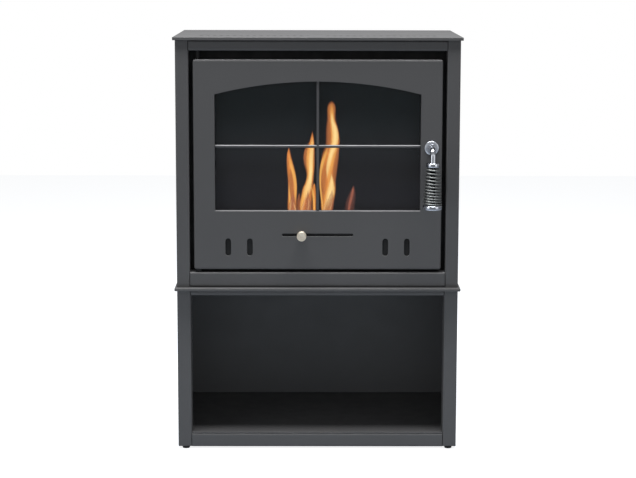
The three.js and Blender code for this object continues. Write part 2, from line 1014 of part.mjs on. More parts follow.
function door() {
  const leaf = new THREE.Group();
  part(leaf, "door_panel", powderCoat, doorPanel());
  part(leaf, "window_bars", powderCoat, windowBars(), 0, barSetback, 0);
  part(
    leaf,
    "glass_seal",
    sealTape,
    frontward(shapeOf(windowOutline(sealWidth), windowOutline(gap)), sealThickness),
    0,
    sealY,
    0,
  );
  const glassLow = windowMarginBottom - glassLap;
  const glassHigh = crownHeight + glassLap;
  const glassHalf = halfWindow + glassLap;
  part(
    leaf,
    "door_glass",
    ceramicGlass,
    frontward(shapeOf(rectangle(-glassHalf, glassLow, glassHalf, glassHigh)), glassThickness),
    0,
    glassY,
    0,
  );
  for (const { name, sign } of sides)
    clipHeights.forEach((share, i) => {
      const place = glassLow + share * (glassHigh - glassLow) - clipLength / 2;
      const level = i === 0 ? "lower" : "upper";
      part(leaf, `glass_clip_${name}_${level}`, zinc, glassClip(sign), 0, 0, place);
    });
  const bush = ring(hingePinRadius + gap, hingeBushRadius, 0, hingeBushLength);
  part(leaf, "hinge_bush_lower", blackSteel, bush, hingeX, hingeSetback, doorSheet + gap);
  const upperBushZ = doorHeight - doorSheet - gap - hingeBushLength;
  part(leaf, "hinge_bush_upper", blackSteel, bush.clone(), hingeX, hingeSetback, upperBushZ);
  part(leaf, "handle_rosette", chrome, rosette(), handleX, 0, handleHeight);
  part(leaf, "handle_bush", zinc, handleBush(), handleX, 0, handleHeight);

  // The lower guide runs the whole way; the upper ones hold the slider's plate near its ends.
  const guideEnd = halfDoor - doorSheet - doorReturn - guideEndClearance;
  const lowerGuideZ = plateLow - damperRunClearance;
  const upperGuideZ = plateHigh + damperRunClearance;
  const upperGuideX = guideEnd - upperGuideLength / 2;
  part(
    leaf,
    "damper_guide_lower",
    blackSteel,
    damperGuide(2 * guideEnd, -1),
    0,
    guideY,
    lowerGuideZ,
  );
  for (const { name, sign } of sides)
    part(
      leaf,
      `damper_guide_upper_${name}`,
      blackSteel,
      damperGuide(upperGuideLength, 1),
      sign * upperGuideX,
      guideY,
      upperGuideZ,
    );
  leaf.add(damper(), handle());
  return leaf;
}

// ---------------------------------------------------------------- air slider

const damperTravelRight = halfDoor - doorSheet - plateHalf - damperRunClearance;

// Seen from the front, about the knob's axis in X. Once it has moved right its holes meet the vents,
// and its left end has uncovered the outermost one.
function damperPlate() {
  const left = -plateHalf - knobRestX;
  const right = plateHalf - knobRestX;
  const outline = rectangle(left, plateLow, right, plateHigh);
  const holes = [circle(0, slotCentreHeight, shankRadius + gap, roundSides)];
  for (const { sign } of sides)
    for (const centre of ventCentres) {
      const x = sign * centre - damperOpenShift - knobRestX;
      const onPlate = x - ventWidth / 2 > left + damperLap && x + ventWidth / 2 < right - damperLap;
      if (onPlate) holes.push(obround(x, ventCentreHeight, ventWidth, ventHeight));
    }
  return frontward(shapeOf(outline, ...holes), damperSheet);
}

// Turned face, waisted neck and a foot that rides on the door; bored for the shank.
function knob() {
  const head = knobNeckLength + knobHeadLength;
  const bore = shankRadius + gap;
  const boreEnd = head - knobFaceThickness;
  return facingBack(
    turned(
      [
        [bore, damperRunClearance],
        [knobFootRadius, damperRunClearance],
        [knobFootRadius, knobFootLength],
        [knobNeckRadius, knobFootLength + knobFootSlope],
        [knobNeckRadius, knobNeckLength - knobFlare],
        ...rim(knobRadius, knobNeckLength, head, knobBackEdge, knobFrontEdge),
        [0, head - knobDish],
        [0, boreEnd],
        [bore, boreEnd],
        [bore, damperRunClearance],
      ],
      wideRoundSides,
    ).rotateX(Math.PI),
  );
}

function damper() {
  const slider = new THREE.Group();
  slider.position.x = knobRestX;
  const nutY = damperY + damperSheet + gap;
  const shankEnd = nutY + shankNutHeight + shankBeyondNut;
  const head = knobNeckLength + knobHeadLength;
  part(slider, "damper_plate", blackSteel, damperPlate(), 0, damperY, 0);
  part(
    slider,
    "damper_shank",
    zinc,
    facingBack(rod(shankRadius, knobFaceThickness + gap - head, shankEnd)),
    0,
    0,
    slotCentreHeight,
  );
  part(
    slider,
    "damper_nut",
    zinc,
    facingBack(nut(shankRadius + gap, shankNutRadius, shankNutHeight)),
    0,
    nutY,
    slotCentreHeight,
  );
  part(slider, "damper_knob", nickel, knob(), 0, 0, slotCentreHeight);
  return slider;
}

// ---------------------------------------------------------------- handle

// One bent bar: threaded end and spindle through the door, collar, elbow and the core of the grip.
function handleStem() {
  const elbowY = -handleReach + elbowRadius;
  const threadEnd = camY + camThickness + latchNutHeight + 2 * gap + threadBeyondNut;
  const overlap = 0.5;
  const spindle = turned([
    [0, elbowY - overlap],
    [stemRadius, elbowY - overlap],
    [stemRadius, -rosetteThickness - 2 * gap - stemCollarLength],
    [stemCollarRadius, -rosetteThickness - 2 * gap - stemCollarLength],
    [stemCollarRadius, -rosetteThickness - 2 * gap],
    [stemRadius, -rosetteThickness - 2 * gap],
    [stemRadius, camY - gap],
    [threadRadius, camY - gap],
    [threadRadius, threadEnd],
    [0, threadEnd],
  ]);
  const bendPath = new THREE.CatmullRomCurve3(
    arc(elbowY, -elbowRadius, elbowRadius, Math.PI / 2, Math.PI, elbowSteps).map(
      (p) => new THREE.Vector3(0, p.x, p.y),
    ),
  );
  const elbow = new THREE.ExtrudeGeometry(shapeOf(circle(0, 0, stemRadius, roundSides)), {
    steps: elbowSteps,
    bevelEnabled: false,
    extrudePath: bendPath,
  });
  const coreEnd = gripBottom - capBoreDepth;
  const core = rod(stemRadius, coreEnd, -elbowRadius + overlap).translate(0, -handleReach, 0);
  return join(facingBack(spindle), elbow, core);
}

// The grip's wire, from under the collar down to the cap: both ends turn upright and run straight.
function coilLine() {
  const top = gripTop - gap;
  const bottom = gripBottom + gap;
  const woundTop = top - coilWire - coilTurnIn;
  const woundBottom = bottom + coilWire + coilTurnIn;
  const steps = Math.round(coilTurns * coilStepsPerTurn);
  const radiusAt = (share) =>
    coilTopRadius + (coilBottomRadius - coilTopRadius) * share - coilWire / 2;
  const place = (angle, radius, height) =>
    new THREE.Vector3(radius * Math.cos(angle), radius * Math.sin(angle), height);
  const line = [];
  for (let i = 0; i <= steps; i++) {
    const share = i / steps;
    const fall = share + coilCloseUp * share * (1 - share);
    const angle = (2 * Math.PI * i) / coilStepsPerTurn;
    line.push(place(angle, radiusAt(share), woundTop + (woundBottom - woundTop) * fall));
  }
  const end = (start, forward, rise) => {
    const points = [];
    for (let i = 1; i <= coilEndSteps; i++) {
      const angle = ((i / coilEndSteps) * Math.PI) / 2;
      points.push(
        start
          .clone()
          .addScaledVector(forward, coilTurnIn * Math.sin(angle))
          .add(new THREE.Vector3(0, 0, rise * coilTurnIn * (1 - Math.cos(angle)))),
      );
    }
    const straight = new THREE.Vector3(0, 0, rise * coilWire);
    points.push(points[points.length - 1].clone().add(straight));
    return points;
  };
  const level = (vector) => vector.setZ(0).normalize();
  const first = level(line[0].clone().sub(line[1]));
  const last = level(line[steps].clone().sub(line[steps - 1]));
  return [...end(line[0], first, 1).reverse(), ...line, ...end(line[steps], last, -1)];
}

// A closed tube with flat ends through the points of a line.
function tubeThrough(line, radius, sides) {
  const positions = [];
  const faces = [];
  let normal = new THREE.Vector3(1, 0, 0);
  line.forEach((centre, i) => {
    const before = line[Math.max(i - 1, 0)];
    const after = line[Math.min(i + 1, line.length - 1)];
    const along = after.clone().sub(before).normalize();
    normal = normal.addScaledVector(along, -normal.dot(along)).normalize();
    const across = along.clone().cross(normal);
    for (let k = 0; k < sides; k++) {
      const angle = (2 * Math.PI * k) / sides;
      const corner = centre
        .clone()
        .addScaledVector(normal, radius * Math.cos(angle))
        .addScaledVector(across, radius * Math.sin(angle));
      positions.push(...corner);
      if (i === 0) continue;
      const here = i * sides;
      const next = (k + 1) % sides;
      faces.push(here - sides + k, here - sides + next, here + k);
      faces.push(here - sides + next, here + next, here + k);
    }
  });
  const lastRing = (line.length - 1) * sides;
  for (let k = 1; k < sides - 1; k++) {
    faces.push(0, k + 1, k);
    faces.push(lastRing, lastRing + k, lastRing + k + 1);
  }
  const geometry = new THREE.BufferGeometry();
  geometry.setAttribute("position", new THREE.Float32BufferAttribute(positions, 3));
  geometry.setIndex(faces);
  geometry.computeVertexNormals();
  return geometry;
}

// The least space between two turns of a wound line, measured from point to stretch.
function leastGap(line, diameter, stepsPerTurn) {
  let least = Infinity;
  const nearest = new THREE.Vector3();
  line.forEach((here, i) => {
    for (let j = i + Math.ceil(stepsPerTurn / 2); j < line.length - 1; j++) {
      new THREE.Line3(line[j], line[j + 1]).closestPointToPoint(here, true, nearest);
      least = Math.min(least, nearest.distanceTo(here) - diameter);
    }
  });
  return least;
}

function handleCap() {
  const bore = stemRadius + gap;
  const boreEnd = gripBottom - capBoreDepth - gap;
  const low = gripBottom - capLength;
  return turned(
    [
      [0, low],
      ...rim(capRadius, low, gripBottom, capLowerEdge, capUpperEdge),
      [bore, gripBottom],
      [bore, boreEnd],
      [0, boreEnd],
    ],
    wideRoundSides,
  );
}

function handleCollar() {
  const bore = stemRadius + gap;
  return turned(
    [
      [bore, gripTop],
      ...rim(collarRadius, gripTop, gripTop + collarLength, collarLowerEdge, collarUpperEdge),
      [bore, gripTop + collarLength],
      [bore, gripTop],
    ],
    wideRoundSides,
  );
}

// The tongue points right behind the catch while the handle hangs.
function latchCam() {
  const half = camWidth / 2;
  const start = Math.asin(half / camHubRadius);
  const outline = [
    ...arc(0, 0, camHubRadius, start, 2 * Math.PI - start, roundSides),
    point(camLength - camChamfer, -half),
    point(camLength, camChamfer - half),
    point(camLength, half - camChamfer),
    point(camLength - camChamfer, half),
  ];
  const bore = circle(0, 0, threadRadius + gap, roundSides);
  return frontward(shapeOf(outline, bore), camThickness);
}

function handle() {
  const pull = new THREE.Group();
  pull.position.set(handleX, 0, handleHeight);
  const coil = coilLine();
  console.log("handle coil: least gap", leastGap(coil, coilWire, coilStepsPerTurn).toFixed(2), "mm");
  part(pull, "handle_stem", chrome, handleStem());
  part(pull, "handle_collar", chrome, handleCollar(), 0, -handleReach, 0);
  part(
    pull,
    "handle_coil",
    springSteel,
    tubeThrough(coil, coilWire / 2, coilSides),
    0,
    -handleReach,
    0,
  );
  part(pull, "handle_end_cap", chrome, handleCap(), 0, -handleReach, 0);
  part(pull, "latch_cam", zinc, latchCam(), 0, camY, 0);
  part(
    pull,
    "latch_nut",
    zinc,
    facingBack(nut(threadRadius + gap, latchNutRadius, latchNutHeight)),
    0,
    camY + camThickness + gap,
    0,
  );
  return pull;
}

// ---------------------------------------------------------------- burner

const lidWidth = mouthWidth + 2 * lidLap;
const lidDepth = mouthDepth + 2 * lidLap;
const mouthFrontY = -tankDepth / 2 + mouthFront;
const lidOpenFrontY = mouthFrontY + mouthDepth + lidRestClearance;
const lidZ = burnerSheet + gap;

function burnerTop() {
  const halfX = tankWidth / 2 + burnerLip;
  const halfY = tankDepth / 2 + burnerLip;
  const outline = roundedRectangle(-halfX, -halfY, halfX, halfY, burnerCorner);
  const mouth = roundedRectangle(
    -mouthWidth / 2,
    mouthFrontY,
    mouthWidth / 2,
    mouthFrontY + mouthDepth,
    burnerCorner,
  );
  const plate = upright(shapeOf(outline, mouth), burnerSheet);
  const wallX = lidWidth / 2 + lidSideClearance;
  const lipZ = lidZ + burnerSheet + lidRunClearance;
  const guideFront = mouthFrontY - lidLap;
  const guideLength = lidOpenFrontY + lidDepth - guideFront;
  const guides = sides.map(({ sign }) => {
    const profile = [
      point(wallX, burnerSheet / 2),
      point(wallX + lidGuideWall, burnerSheet / 2),
      point(wallX + lidGuideWall, lipZ + lidGuideWall),
      point(wallX - lidGuideLip, lipZ + lidGuideWall),
      point(wallX - lidGuideLip, lipZ),
      point(wallX, lipZ),
    ];
    const mirrored = shapeOf(profile.map((p) => point(sign * p.x, p.y)));
    return frontward(mirrored, guideLength).translate(0, guideFront, 0);
  });
  return join(plate, ...guides);
}

function tank() {
  const outer = block(tankWidth, tankDepth, tankHeight);
  const inner = block(tankWidth - 2 * tankWall, tankDepth - 2 * tankWall, tankHeight);
  return cut(outer, inner.translate(0, 0, tankWall)).translate(0, 0, -tankHeight / 2 - gap);
}

// A sliding lid with an upright lug at its front edge.
function burnerLid() {
  const cover = upright(shapeOf(rectangle(-lidWidth / 2, 0, lidWidth / 2, lidDepth)), burnerSheet);
  const lugOutline = rectangle(-lugWidth / 2, burnerSheet / 2, lugWidth / 2, lugHeight);
  const eye = circle(0, lugHeight - lugHole - lugRim, lugHole, roundSides);
  const lug = frontward(shapeOf(lugOutline, eye), burnerSheet);
  return join(cover, lug.translate(0, burnerSheet, 0));
}

function burner() {
  const unit = new THREE.Group();
  unit.position.set(0, burnerCentreY, shelfTop + gap);
  const woolX = tankWidth / 2 - tankWall - woolClearance;
  const woolY = tankDepth / 2 - tankWall - woolClearance;
  const woolFloor = -tankHeight - gap + tankWall + woolClearance;
  const woolOutline = roundedRectangle(-woolX, -woolY, woolX, woolY, 2 * woolEdge);
  part(unit, "burner_top", stainless, burnerTop());
  part(unit, "burner_tank", stainless, tank());
  part(
    unit,
    "ceramic_wool",
    ceramicWool,
    upright(shapeOf(woolOutline), -woolTop - woolFloor, woolEdge),
    0,
    0,
    woolFloor,
  );
  part(unit, "burner_lid", stainless, burnerLid(), 0, lidOpenFrontY, lidZ);
  return unit;
}

// ---------------------------------------------------------------- the whole, about its middle

const fireplace = new THREE.Group();
fireplace.position.y = -(frontmost + rearmost) / 2;
const leaf = door();
leaf.position.z = doorBottom;
fireplace.add(logStore(), cabinet(), leaf, burner());

export default fireplace;
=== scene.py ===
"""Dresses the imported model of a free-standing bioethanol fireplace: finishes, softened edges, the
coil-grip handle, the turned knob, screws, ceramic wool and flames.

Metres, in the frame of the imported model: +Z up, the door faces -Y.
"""

import json
import math

import bpy
from mathutils import Matrix, Vector, noise


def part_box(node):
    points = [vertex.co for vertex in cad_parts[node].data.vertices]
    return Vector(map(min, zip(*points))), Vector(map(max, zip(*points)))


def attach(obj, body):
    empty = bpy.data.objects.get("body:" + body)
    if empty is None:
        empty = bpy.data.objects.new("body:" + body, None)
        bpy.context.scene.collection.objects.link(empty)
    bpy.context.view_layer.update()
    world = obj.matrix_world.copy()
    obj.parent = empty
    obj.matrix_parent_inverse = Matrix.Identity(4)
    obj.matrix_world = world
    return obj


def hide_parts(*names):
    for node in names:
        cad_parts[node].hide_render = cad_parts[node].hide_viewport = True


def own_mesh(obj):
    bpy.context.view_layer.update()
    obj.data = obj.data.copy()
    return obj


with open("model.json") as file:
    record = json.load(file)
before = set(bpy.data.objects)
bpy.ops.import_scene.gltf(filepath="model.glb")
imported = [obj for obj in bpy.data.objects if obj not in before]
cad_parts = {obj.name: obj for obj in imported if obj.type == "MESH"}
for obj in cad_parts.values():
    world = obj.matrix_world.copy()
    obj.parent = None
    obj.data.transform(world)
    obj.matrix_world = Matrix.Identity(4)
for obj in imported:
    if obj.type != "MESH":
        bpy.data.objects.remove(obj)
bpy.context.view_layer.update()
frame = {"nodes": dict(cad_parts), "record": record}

MM = 0.001
FULL_TURN = 2 * math.pi


# ---------------------------------------------------------------- camera, lamps and surroundings

EYE = Vector((-0.0156, -3.746, 1.0594))
EYE_PITCH = math.radians(8.07)  # downwards
EYE_YAW = math.radians(0.26)  # to the right
EYE_ROLL = math.radians(0.11)
LENS = 97.11
LENS_SHIFT = -0.0645

ROOM_LIGHT = 0.13  # on matt surfaces
ROOM_SHOWN = 0.32  # in reflections
FLOOR_SIZE = 9.0
FLOOR_COLOUR = (0.33, 0.36, 0.4, 1)
FLOOR_GLOW = 0.87  # seen by the camera on top of what the lamps give


def shown(name, data):
    """A new object in the scene."""
    made = bpy.data.objects.new(name, data)
    bpy.context.scene.collection.objects.link(made)
    return made


def camera():
    data = bpy.data.cameras.new("camera")
    data.lens = LENS
    data.shift_y = LENS_SHIFT
    eye = shown("camera", data)
    eye.matrix_world = (
        Matrix.Translation(EYE)
        @ Matrix.Rotation(-EYE_YAW, 4, "Z")
        @ Matrix.Rotation(math.pi / 2 - EYE_PITCH, 4, "X")
        @ Matrix.Rotation(EYE_ROLL, 4, "Z")
    )
    bpy.context.scene.camera = eye
    bpy.context.scene.view_settings.view_transform = "Standard"


def lamp(name, place, target, width, height, power, colour=(1, 1, 1)):
    data = bpy.data.lights.new(name, "AREA")
    data.shape = "RECTANGLE"
    data.size = width
    data.size_y = height
    data.energy = power
    data.color = colour
    light = shown(name, data)
    light.location = place
    light.rotation_euler = (Vector(target) - Vector(place)).to_track_quat("-Z", "Y").to_euler()


def lamps():
    middle = (0, 0, 0.5)
    lamp("overhead_softbox", (0, -0.4, 2.7), (0, -0.3, 0.6), 2.2, 0.7, 144)
    lamp("left_softbox", (-2.9, -2.2, 1.0), middle, 2.0, 2.2, 22)
    lamp("right_softbox", (2.9, -2.2, 1.0), middle, 2.0, 2.2, 16)
    lamp("front_fill", (0.2, -3.9, 2.6), middle, 2.8, 1.8, 10)
    lamp("low_fill", (0, -0.75, 0.1), (0, -0.15, 0.06), 1.4, 0.12, 0.9, (0.84, 0.92, 1))


def surroundings():
    """A dim room, a little brighter in what metal and glass show, and white to the camera."""
    world = bpy.data.worlds.new("studio")
    bpy.context.scene.world = world
    world.use_nodes = True
    nodes, links = world.node_tree.nodes, world.node_tree.links
    path = nodes.new("ShaderNodeLightPath")
    level = None
    shares = (("Is Glossy Ray", ROOM_SHOWN - ROOM_LIGHT), ("Is Camera Ray", 1 - ROOM_LIGHT))
    for ray, more in shares:
        step = nodes.new("ShaderNodeMath")
        step.operation = "MULTIPLY_ADD"
        step.inputs[1].default_value = more
        step.inputs[2].default_value = ROOM_LIGHT
        links.new(path.outputs[ray], step.inputs[0])
        if level is not None:
            links.new(level.outputs[0], step.inputs[2])
        level = step
    background = nodes["Background"]
    background.inputs["Color"].default_value = (1, 1, 1, 1)
    links.new(level.outputs[0], background.inputs["Strength"])


def floor():
    mesh = bpy.data.meshes.new("studio_floor")
    half = FLOOR_SIZE / 2
    corners = [(-half, -half, 0), (half, -half, 0), (half, half, 0), (-half, half, 0)]
    mesh.from_pydata(corners, [], [(0, 1, 2, 3)])
    slab = shown("studio_floor", mesh)
    paper = bpy.data.materials.new("floor_paper")
    paper.use_nodes = True
    nodes, links = paper.node_tree.nodes, paper.node_tree.links
    shader = nodes["Principled BSDF"]
    shader.inputs["Base Color"].default_value = FLOOR_COLOUR
    shader.inputs["Roughness"].default_value = 0.9
    shader.inputs["Specular IOR Level"].default_value = 0.1
    shader.inputs["Emission Color"].default_value = (1, 1, 1, 1)
    path = nodes.new("ShaderNodeLightPath")
    glow = nodes.new("ShaderNodeMath")
    glow.operation = "MULTIPLY"
    glow.inputs[1].default_value = FLOOR_GLOW
    links.new(path.outputs["Is Camera Ray"], glow.inputs[0])
    links.new(glow.outputs[0], shader.inputs["Emission Strength"])
    mesh.materials.append(paper)


# ---------------------------------------------------------------- finishes

MIX_A, MIX_B, MIX_RESULT = 6, 7, 2  # colour sockets of a Mix node
BEVEL_SAMPLES = 6
FADE = "fade"  # mesh attribute of the flames: alpha of each face, highest in a tongue's body


def colour(code):
    """An sRGB code such as 4c4c4e as linear RGBA."""
    shares = [int(code[i : i + 2], 16) / 255 for i in (0, 2, 4)]
    linear = [s / 12.92 if s <= 0.04045 else ((s + 0.055) / 1.055) ** 2.4 for s in shares]
    return (*linear, 1.0)


class Finish:
    """A Principled material built up from procedural nodes, on the piece's own coordinates."""

    def __init__(self, name, base, roughness, metallic=0.0, shine=0.5):
        self.material = bpy.data.materials.new(name)
        self.material.use_nodes = True
        self.tree = self.material.node_tree
        self.shader = self.tree.nodes["Principled BSDF"]
        self.base = colour(base)
        self.set("Base Color", self.base)
        self.set("Roughness", roughness)
        self.set("Metallic", metallic)
        self.set("Specular IOR Level", shine)
        self.place = self.node("ShaderNodeTexCoord").outputs["Object"]
        self.relief = self.rounding = self.gloss = None

    def node(self, kind, **settings):
        made = self.tree.nodes.new(kind)
        for key, value in settings.items():
            setattr(made, key, value)
        return made

    def link(self, output, target):
        self.tree.links.new(output, target)

    def feed(self, value, target):
        """Links a socket, or sets a plain value."""
        if isinstance(value, bpy.types.NodeSocket):
            self.link(value, target)
        else:
            target.default_value = value

    def set(self, name, value):
        self.feed(value, self.shader.inputs[name])

    def noise(self, size, detail=2.0, roughness=0.5, stretch=None):
        """Noise with features of about this size in metres, longer by stretch along X, Y, Z."""
        made = self.node("ShaderNodeTexNoise")
        made.inputs["Scale"].default_value = 1 / size
        made.inputs["Detail"].default_value = detail
        made.inputs["Roughness"].default_value = roughness
        place = self.place
        if stretch:
            mapping = self.node("ShaderNodeMapping")
            mapping.inputs["Scale"].default_value = [1 / s for s in stretch]
            self.link(self.place, mapping.inputs["Vector"])
            place = mapping.outputs["Vector"]
        self.link(place, made.inputs["Vector"])
        return made.outputs["Fac"]

    def cells(self, size):
        """Distance from the middles of cells of about this size in metres."""
        made = self.node("ShaderNodeTexVoronoi")
        made.inputs["Scale"].default_value = 1 / size
        self.link(self.place, made.inputs["Vector"])
        return made.outputs["Distance"]

    def range(self, value, low, high, to_low=0.0, to_high=1.0):
        """Runs smoothly from to_low at low to to_high at high, and stays level outside."""
        made = self.node("ShaderNodeMapRange", interpolation_type="SMOOTHSTEP")
        self.link(value, made.inputs["Value"])
        limits = {"From Min": low, "From Max": high, "To Min": to_low, "To Max": to_high}
        for key, number in limits.items():
            made.inputs[key].default_value = number
        return made.outputs["Result"]

    def math(self, operation, a, b=0.0):
        made = self.node("ShaderNodeMath", operation=operation)
        self.feed(a, made.inputs[0])
        self.feed(b, made.inputs[1])
        return made.outputs[0]

    def times(self, a, b):
        return self.math("MULTIPLY", a, b)

    def length(self, a, b):
        """The distance from the origin of a point with these two coordinates."""
        squares = [self.times(value, value) for value in (a, b)]
        return self.math("SQRT", self.math("ADD", *squares))

    def mix(self, share, a, b):
        """Colour a where share is 0 and b where it is 1. Each is a socket or a linear colour."""
        made = self.node("ShaderNodeMix", data_type="RGBA")
        self.link(share, made.inputs["Factor"])
        self.feed(a, made.inputs[MIX_A])
        self.feed(b, made.inputs[MIX_B])
        return made.outputs[MIX_RESULT]

    def tint(self, share, code):
        """Lays another colour over the base where share is high."""
        self.base = self.mix(share, self.base, colour(code))
        self.set("Base Color", self.base)

    def mottle(self, code, size, between, most, detail=4.0, **grain):
        """Lays a colour over the base in patches of about this size, up to a share of most.
        between: the noise at which a patch starts and at which it is full."""
        patches = self.noise(size, detail, **grain)
        self.tint(self.range(patches, *between, 0.0, most), code)

    def sheen(self, size, levels, detail=4.0, between=(0.3, 0.7)):
        """Lets the roughness wander between two levels, in patches of about this size."""
        self.gloss = self.range(self.noise(size, detail), *between, *levels)
        self.set("Roughness", self.gloss)

    def axis(self, name):
        parts = self.node("ShaderNodeSeparateXYZ")
        self.link(self.place, parts.inputs[0])
        return parts.outputs[name]

    def bump(self, height, depth, strength):
        """Adds relief: depth is the height's full range in metres."""
        made = self.node("ShaderNodeBump")
        made.inputs["Strength"].default_value = strength
        made.inputs["Distance"].default_value = depth
        self.link(height, made.inputs["Height"])
        if self.relief is not None:
            self.link(self.relief, made.inputs["Normal"])
        self.relief = made.outputs["Normal"]
        self.set("Normal", self.relief)

    def round_edges(self, radius):
        """Shades sharp edges as rounded ones. Called before any relief is added."""
        made = self.node("ShaderNodeBevel", samples=BEVEL_SAMPLES)
        made.inputs["Radius"].default_value = radius
        self.rounding = made.outputs["Normal"]
        self.relief = self.rounding
        self.set("Normal", self.relief)

    def upward(self, amount):
        """High on faces that look up, broken up a little by noise."""
        parts = self.node("ShaderNodeSeparateXYZ")
        self.link(self.node("ShaderNodeNewGeometry").outputs["Normal"], parts.inputs[0])
        level = self.range(parts.outputs["Z"], 0.35, 0.8)
        thick = self.range(self.noise(0.02, 4.0), 0.2, 0.6, 0.75, 1.0)
        return self.times(self.times(level, thick), amount)

    def edges(self, amount):
        """High on edges, broken up by noise. Called after round_edges."""
        facing = self.node("ShaderNodeVectorMath", operation="DOT_PRODUCT")
        self.link(self.rounding, facing.inputs[0])
        self.link(self.node("ShaderNodeNewGeometry").outputs["Normal"], facing.inputs[1])
        bent = self.range(facing.outputs["Value"], 0.8, 0.98, 1.0, 0.0)
        worn = self.range(self.noise(0.012, 4.0), 0.35, 0.7)
        return self.times(self.times(bent, worn), amount)


def powder_coat(name="powder_coat_finish", base="4a4a4b"):
    """Satin coat: even, with a fine grain, faintly cloudy, paler on its edges as a painted
    highlight with some rubbed wear.
    """
    finish = Finish(name, base, 0.5, shine=0.35)
    finish.round_edges(0.0012)
    finish.mottle("4d4d4e", size=0.2, between=(0.3, 0.7), most=0.5, detail=2)
    finish.mottle("444446", size=0.0008, between=(0.4, 0.7), most=0.35, detail=2)
    # paler edges: a painted highlight with some rubbed wear, and smoother there too
    rubbed_and_highlit = finish.edges(0.3)
    finish.tint(rubbed_and_highlit, "707072")
    finish.sheen(size=0.03, levels=(0.47, 0.54))
    finish.set("Roughness", finish.math("SUBTRACT", finish.gloss, rubbed_and_highlit))
    finish.bump(finish.noise(0.0008, 2.0), 0.00004, 0.5)
    return finish


def top_lit_dusted_coat(name="top_lit_coat_finish", base="4a4a4b", dust="7e7e80"):
    """Powder coat made paler on the narrow faces that look up: painted light from above, with fine
    dust.
    """
    finish = powder_coat(name, base)
    # paler tops: painted light from above, with fine dust
    finish.tint(finish.upward(0.9), dust)
    return finish


VENT_PITCH = 14.2 * MM
VENT_STEPS = 16  # from the innermost hole to the outermost, on each side
VENT_START = 21.5 * MM  # the innermost holes, from the plate's middle
VENT_ROW = -73 * MM  # the row's Y
HOLE_SHADE_FLATNESS = 0.5  # width over length of the painted shade round a hole


def vented_coat():
    """The top plate's coat, darkened round each of its holes as painted shade."""
    finish = powder_coat("vented_coat_finish")
    across = finish.math("ABSOLUTE", finish.axis("X"))
    steps = finish.math("DIVIDE", finish.math("SUBTRACT", across, VENT_START), VENT_PITCH)
    share = finish.math("SUBTRACT", steps, finish.math("ROUND", steps))
    aside = finish.times(share, VENT_PITCH)
    behind = finish.math("SUBTRACT", finish.axis("Y"), VENT_ROW)
    behind = finish.times(behind, HOLE_SHADE_FLATNESS)
    near = finish.range(finish.length(aside, behind), 0.003, 0.0065, 0.85, 0.0)
    off_middle = finish.math("ABSOLUTE", finish.math("SUBTRACT", steps, VENT_STEPS / 2))
    in_row = finish.range(off_middle, VENT_STEPS / 2 + 0.3, VENT_STEPS / 2 + 0.5, 1.0, 0.0)
    # painted shade round each hole
    finish.tint(finish.times(near, in_row), "1e1e1f")
    return finish


def worn_floor_coat():
    """The log floor: powder coat with scuffs along the way logs are pushed in, and bark dust."""
    finish = powder_coat("log_floor_finish")
    along = {"roughness": 0.7, "stretch": (1, 24, 1)}
    finish.mottle("8a8a8c", size=0.0022, between=(0.62, 0.72), most=0.4, detail=5, **along)
    heaps = finish.range(finish.noise(0.05, 3.0), 0.45, 0.75)
    crumbs = finish.range(finish.cells(0.0035), 0.05, 0.35, 0.5, 0.0)
    finish.tint(finish.times(heaps, crumbs), "7d6a52")
    return finish


def black_steel():
    finish = Finish("black_steel_finish", "131314", 0.7, metallic=0.1, shine=0.3)
    finish.round_edges(0.0008)
    finish.mottle("18191a", size=0.06, between=(0.35, 0.7), most=0.6)
    finish.tint(finish.edges(0.4), "3c3c3e")
    finish.sheen(size=0.025, levels=(0.6, 0.8))
    finish.bump(finish.noise(0.0012, 3.0), 0.00007, 0.6)
    return finish


def firebox_steel():
    """Black steel made paler towards the bottom as painted light, with soot there and faint rolling
    marks.
    """
    finish = Finish("firebox_steel_finish", "2a3032", 0.75, metallic=0.1, shine=0.3)
    finish.mottle("2f3537", size=0.12, between=(0.35, 0.7), most=0.4, detail=3)
    low_down = finish.range(finish.axis("Z"), 0.42, 0.8, 1.0, 0.0)
    # paler towards the bottom: painted light
    finish.tint(low_down, "443f3f")
    soot = finish.range(finish.noise(0.05, 4.0, 0.6, (1, 1, 3)), 0.45, 0.75, 0.0, 0.3)
    finish.tint(finish.times(low_down, soot), "201d1c")
    finish.sheen(size=0.03, levels=(0.65, 0.85))
    finish.bump(finish.noise(0.002, 3.0, 0.6, (12, 12, 1)), 0.00005, 0.5)
    return finish


def chrome(name="chrome_finish"):
    finish = Finish(name, "c6cad2", 0.13, metallic=1.0)
    finish.mottle("adb1bb", size=0.02, between=(0.4, 0.75), most=0.3, detail=3)
    finish.sheen(size=0.012, levels=(0.1, 0.17), detail=3, between=(0.3, 0.75))
    finish.bump(finish.noise(0.01, 2.0), 0.00001, 0.3)
    return finish


def stem_chrome(grip_top):
    """Chrome down to the grip's collar, and dull dark steel under the coil, its darkness partly
    painted shade inside the coil.
    """
    finish = chrome("stem_chrome_finish")
    covered_and_shaded = finish.range(finish.axis("Z"), grip_top - 0.001, grip_top, 1.0, 0.0)
    # dark under the coil: bare steel, and painted shade inside the coil
    finish.tint(covered_and_shaded, "19191b")
    dull = finish.times(covered_and_shaded, 0.7)
    finish.set("Roughness", finish.math("MAXIMUM", finish.gloss, dull))
    return finish


def satin_chrome():
    """Chrome over a brushed disc: brighter in a plain room than the polished pieces."""
    finish = chrome("satin_chrome_finish")
    finish.sheen(size=0.006, levels=(0.3, 0.4), detail=3, between=(0.3, 0.75))
    return finish


def spring_steel():
    finish = Finish("spring_steel_finish", "747675", 0.42, metallic=1.0)
    finish.mottle("5c5e5d", size=0.003, between=(0.45, 0.75), most=0.4, roughness=0.6)
    finish.sheen(size=0.002, levels=(0.38, 0.5))
    finish.bump(finish.noise(0.0008, 3.0), 0.00002, 0.4)
    return finish


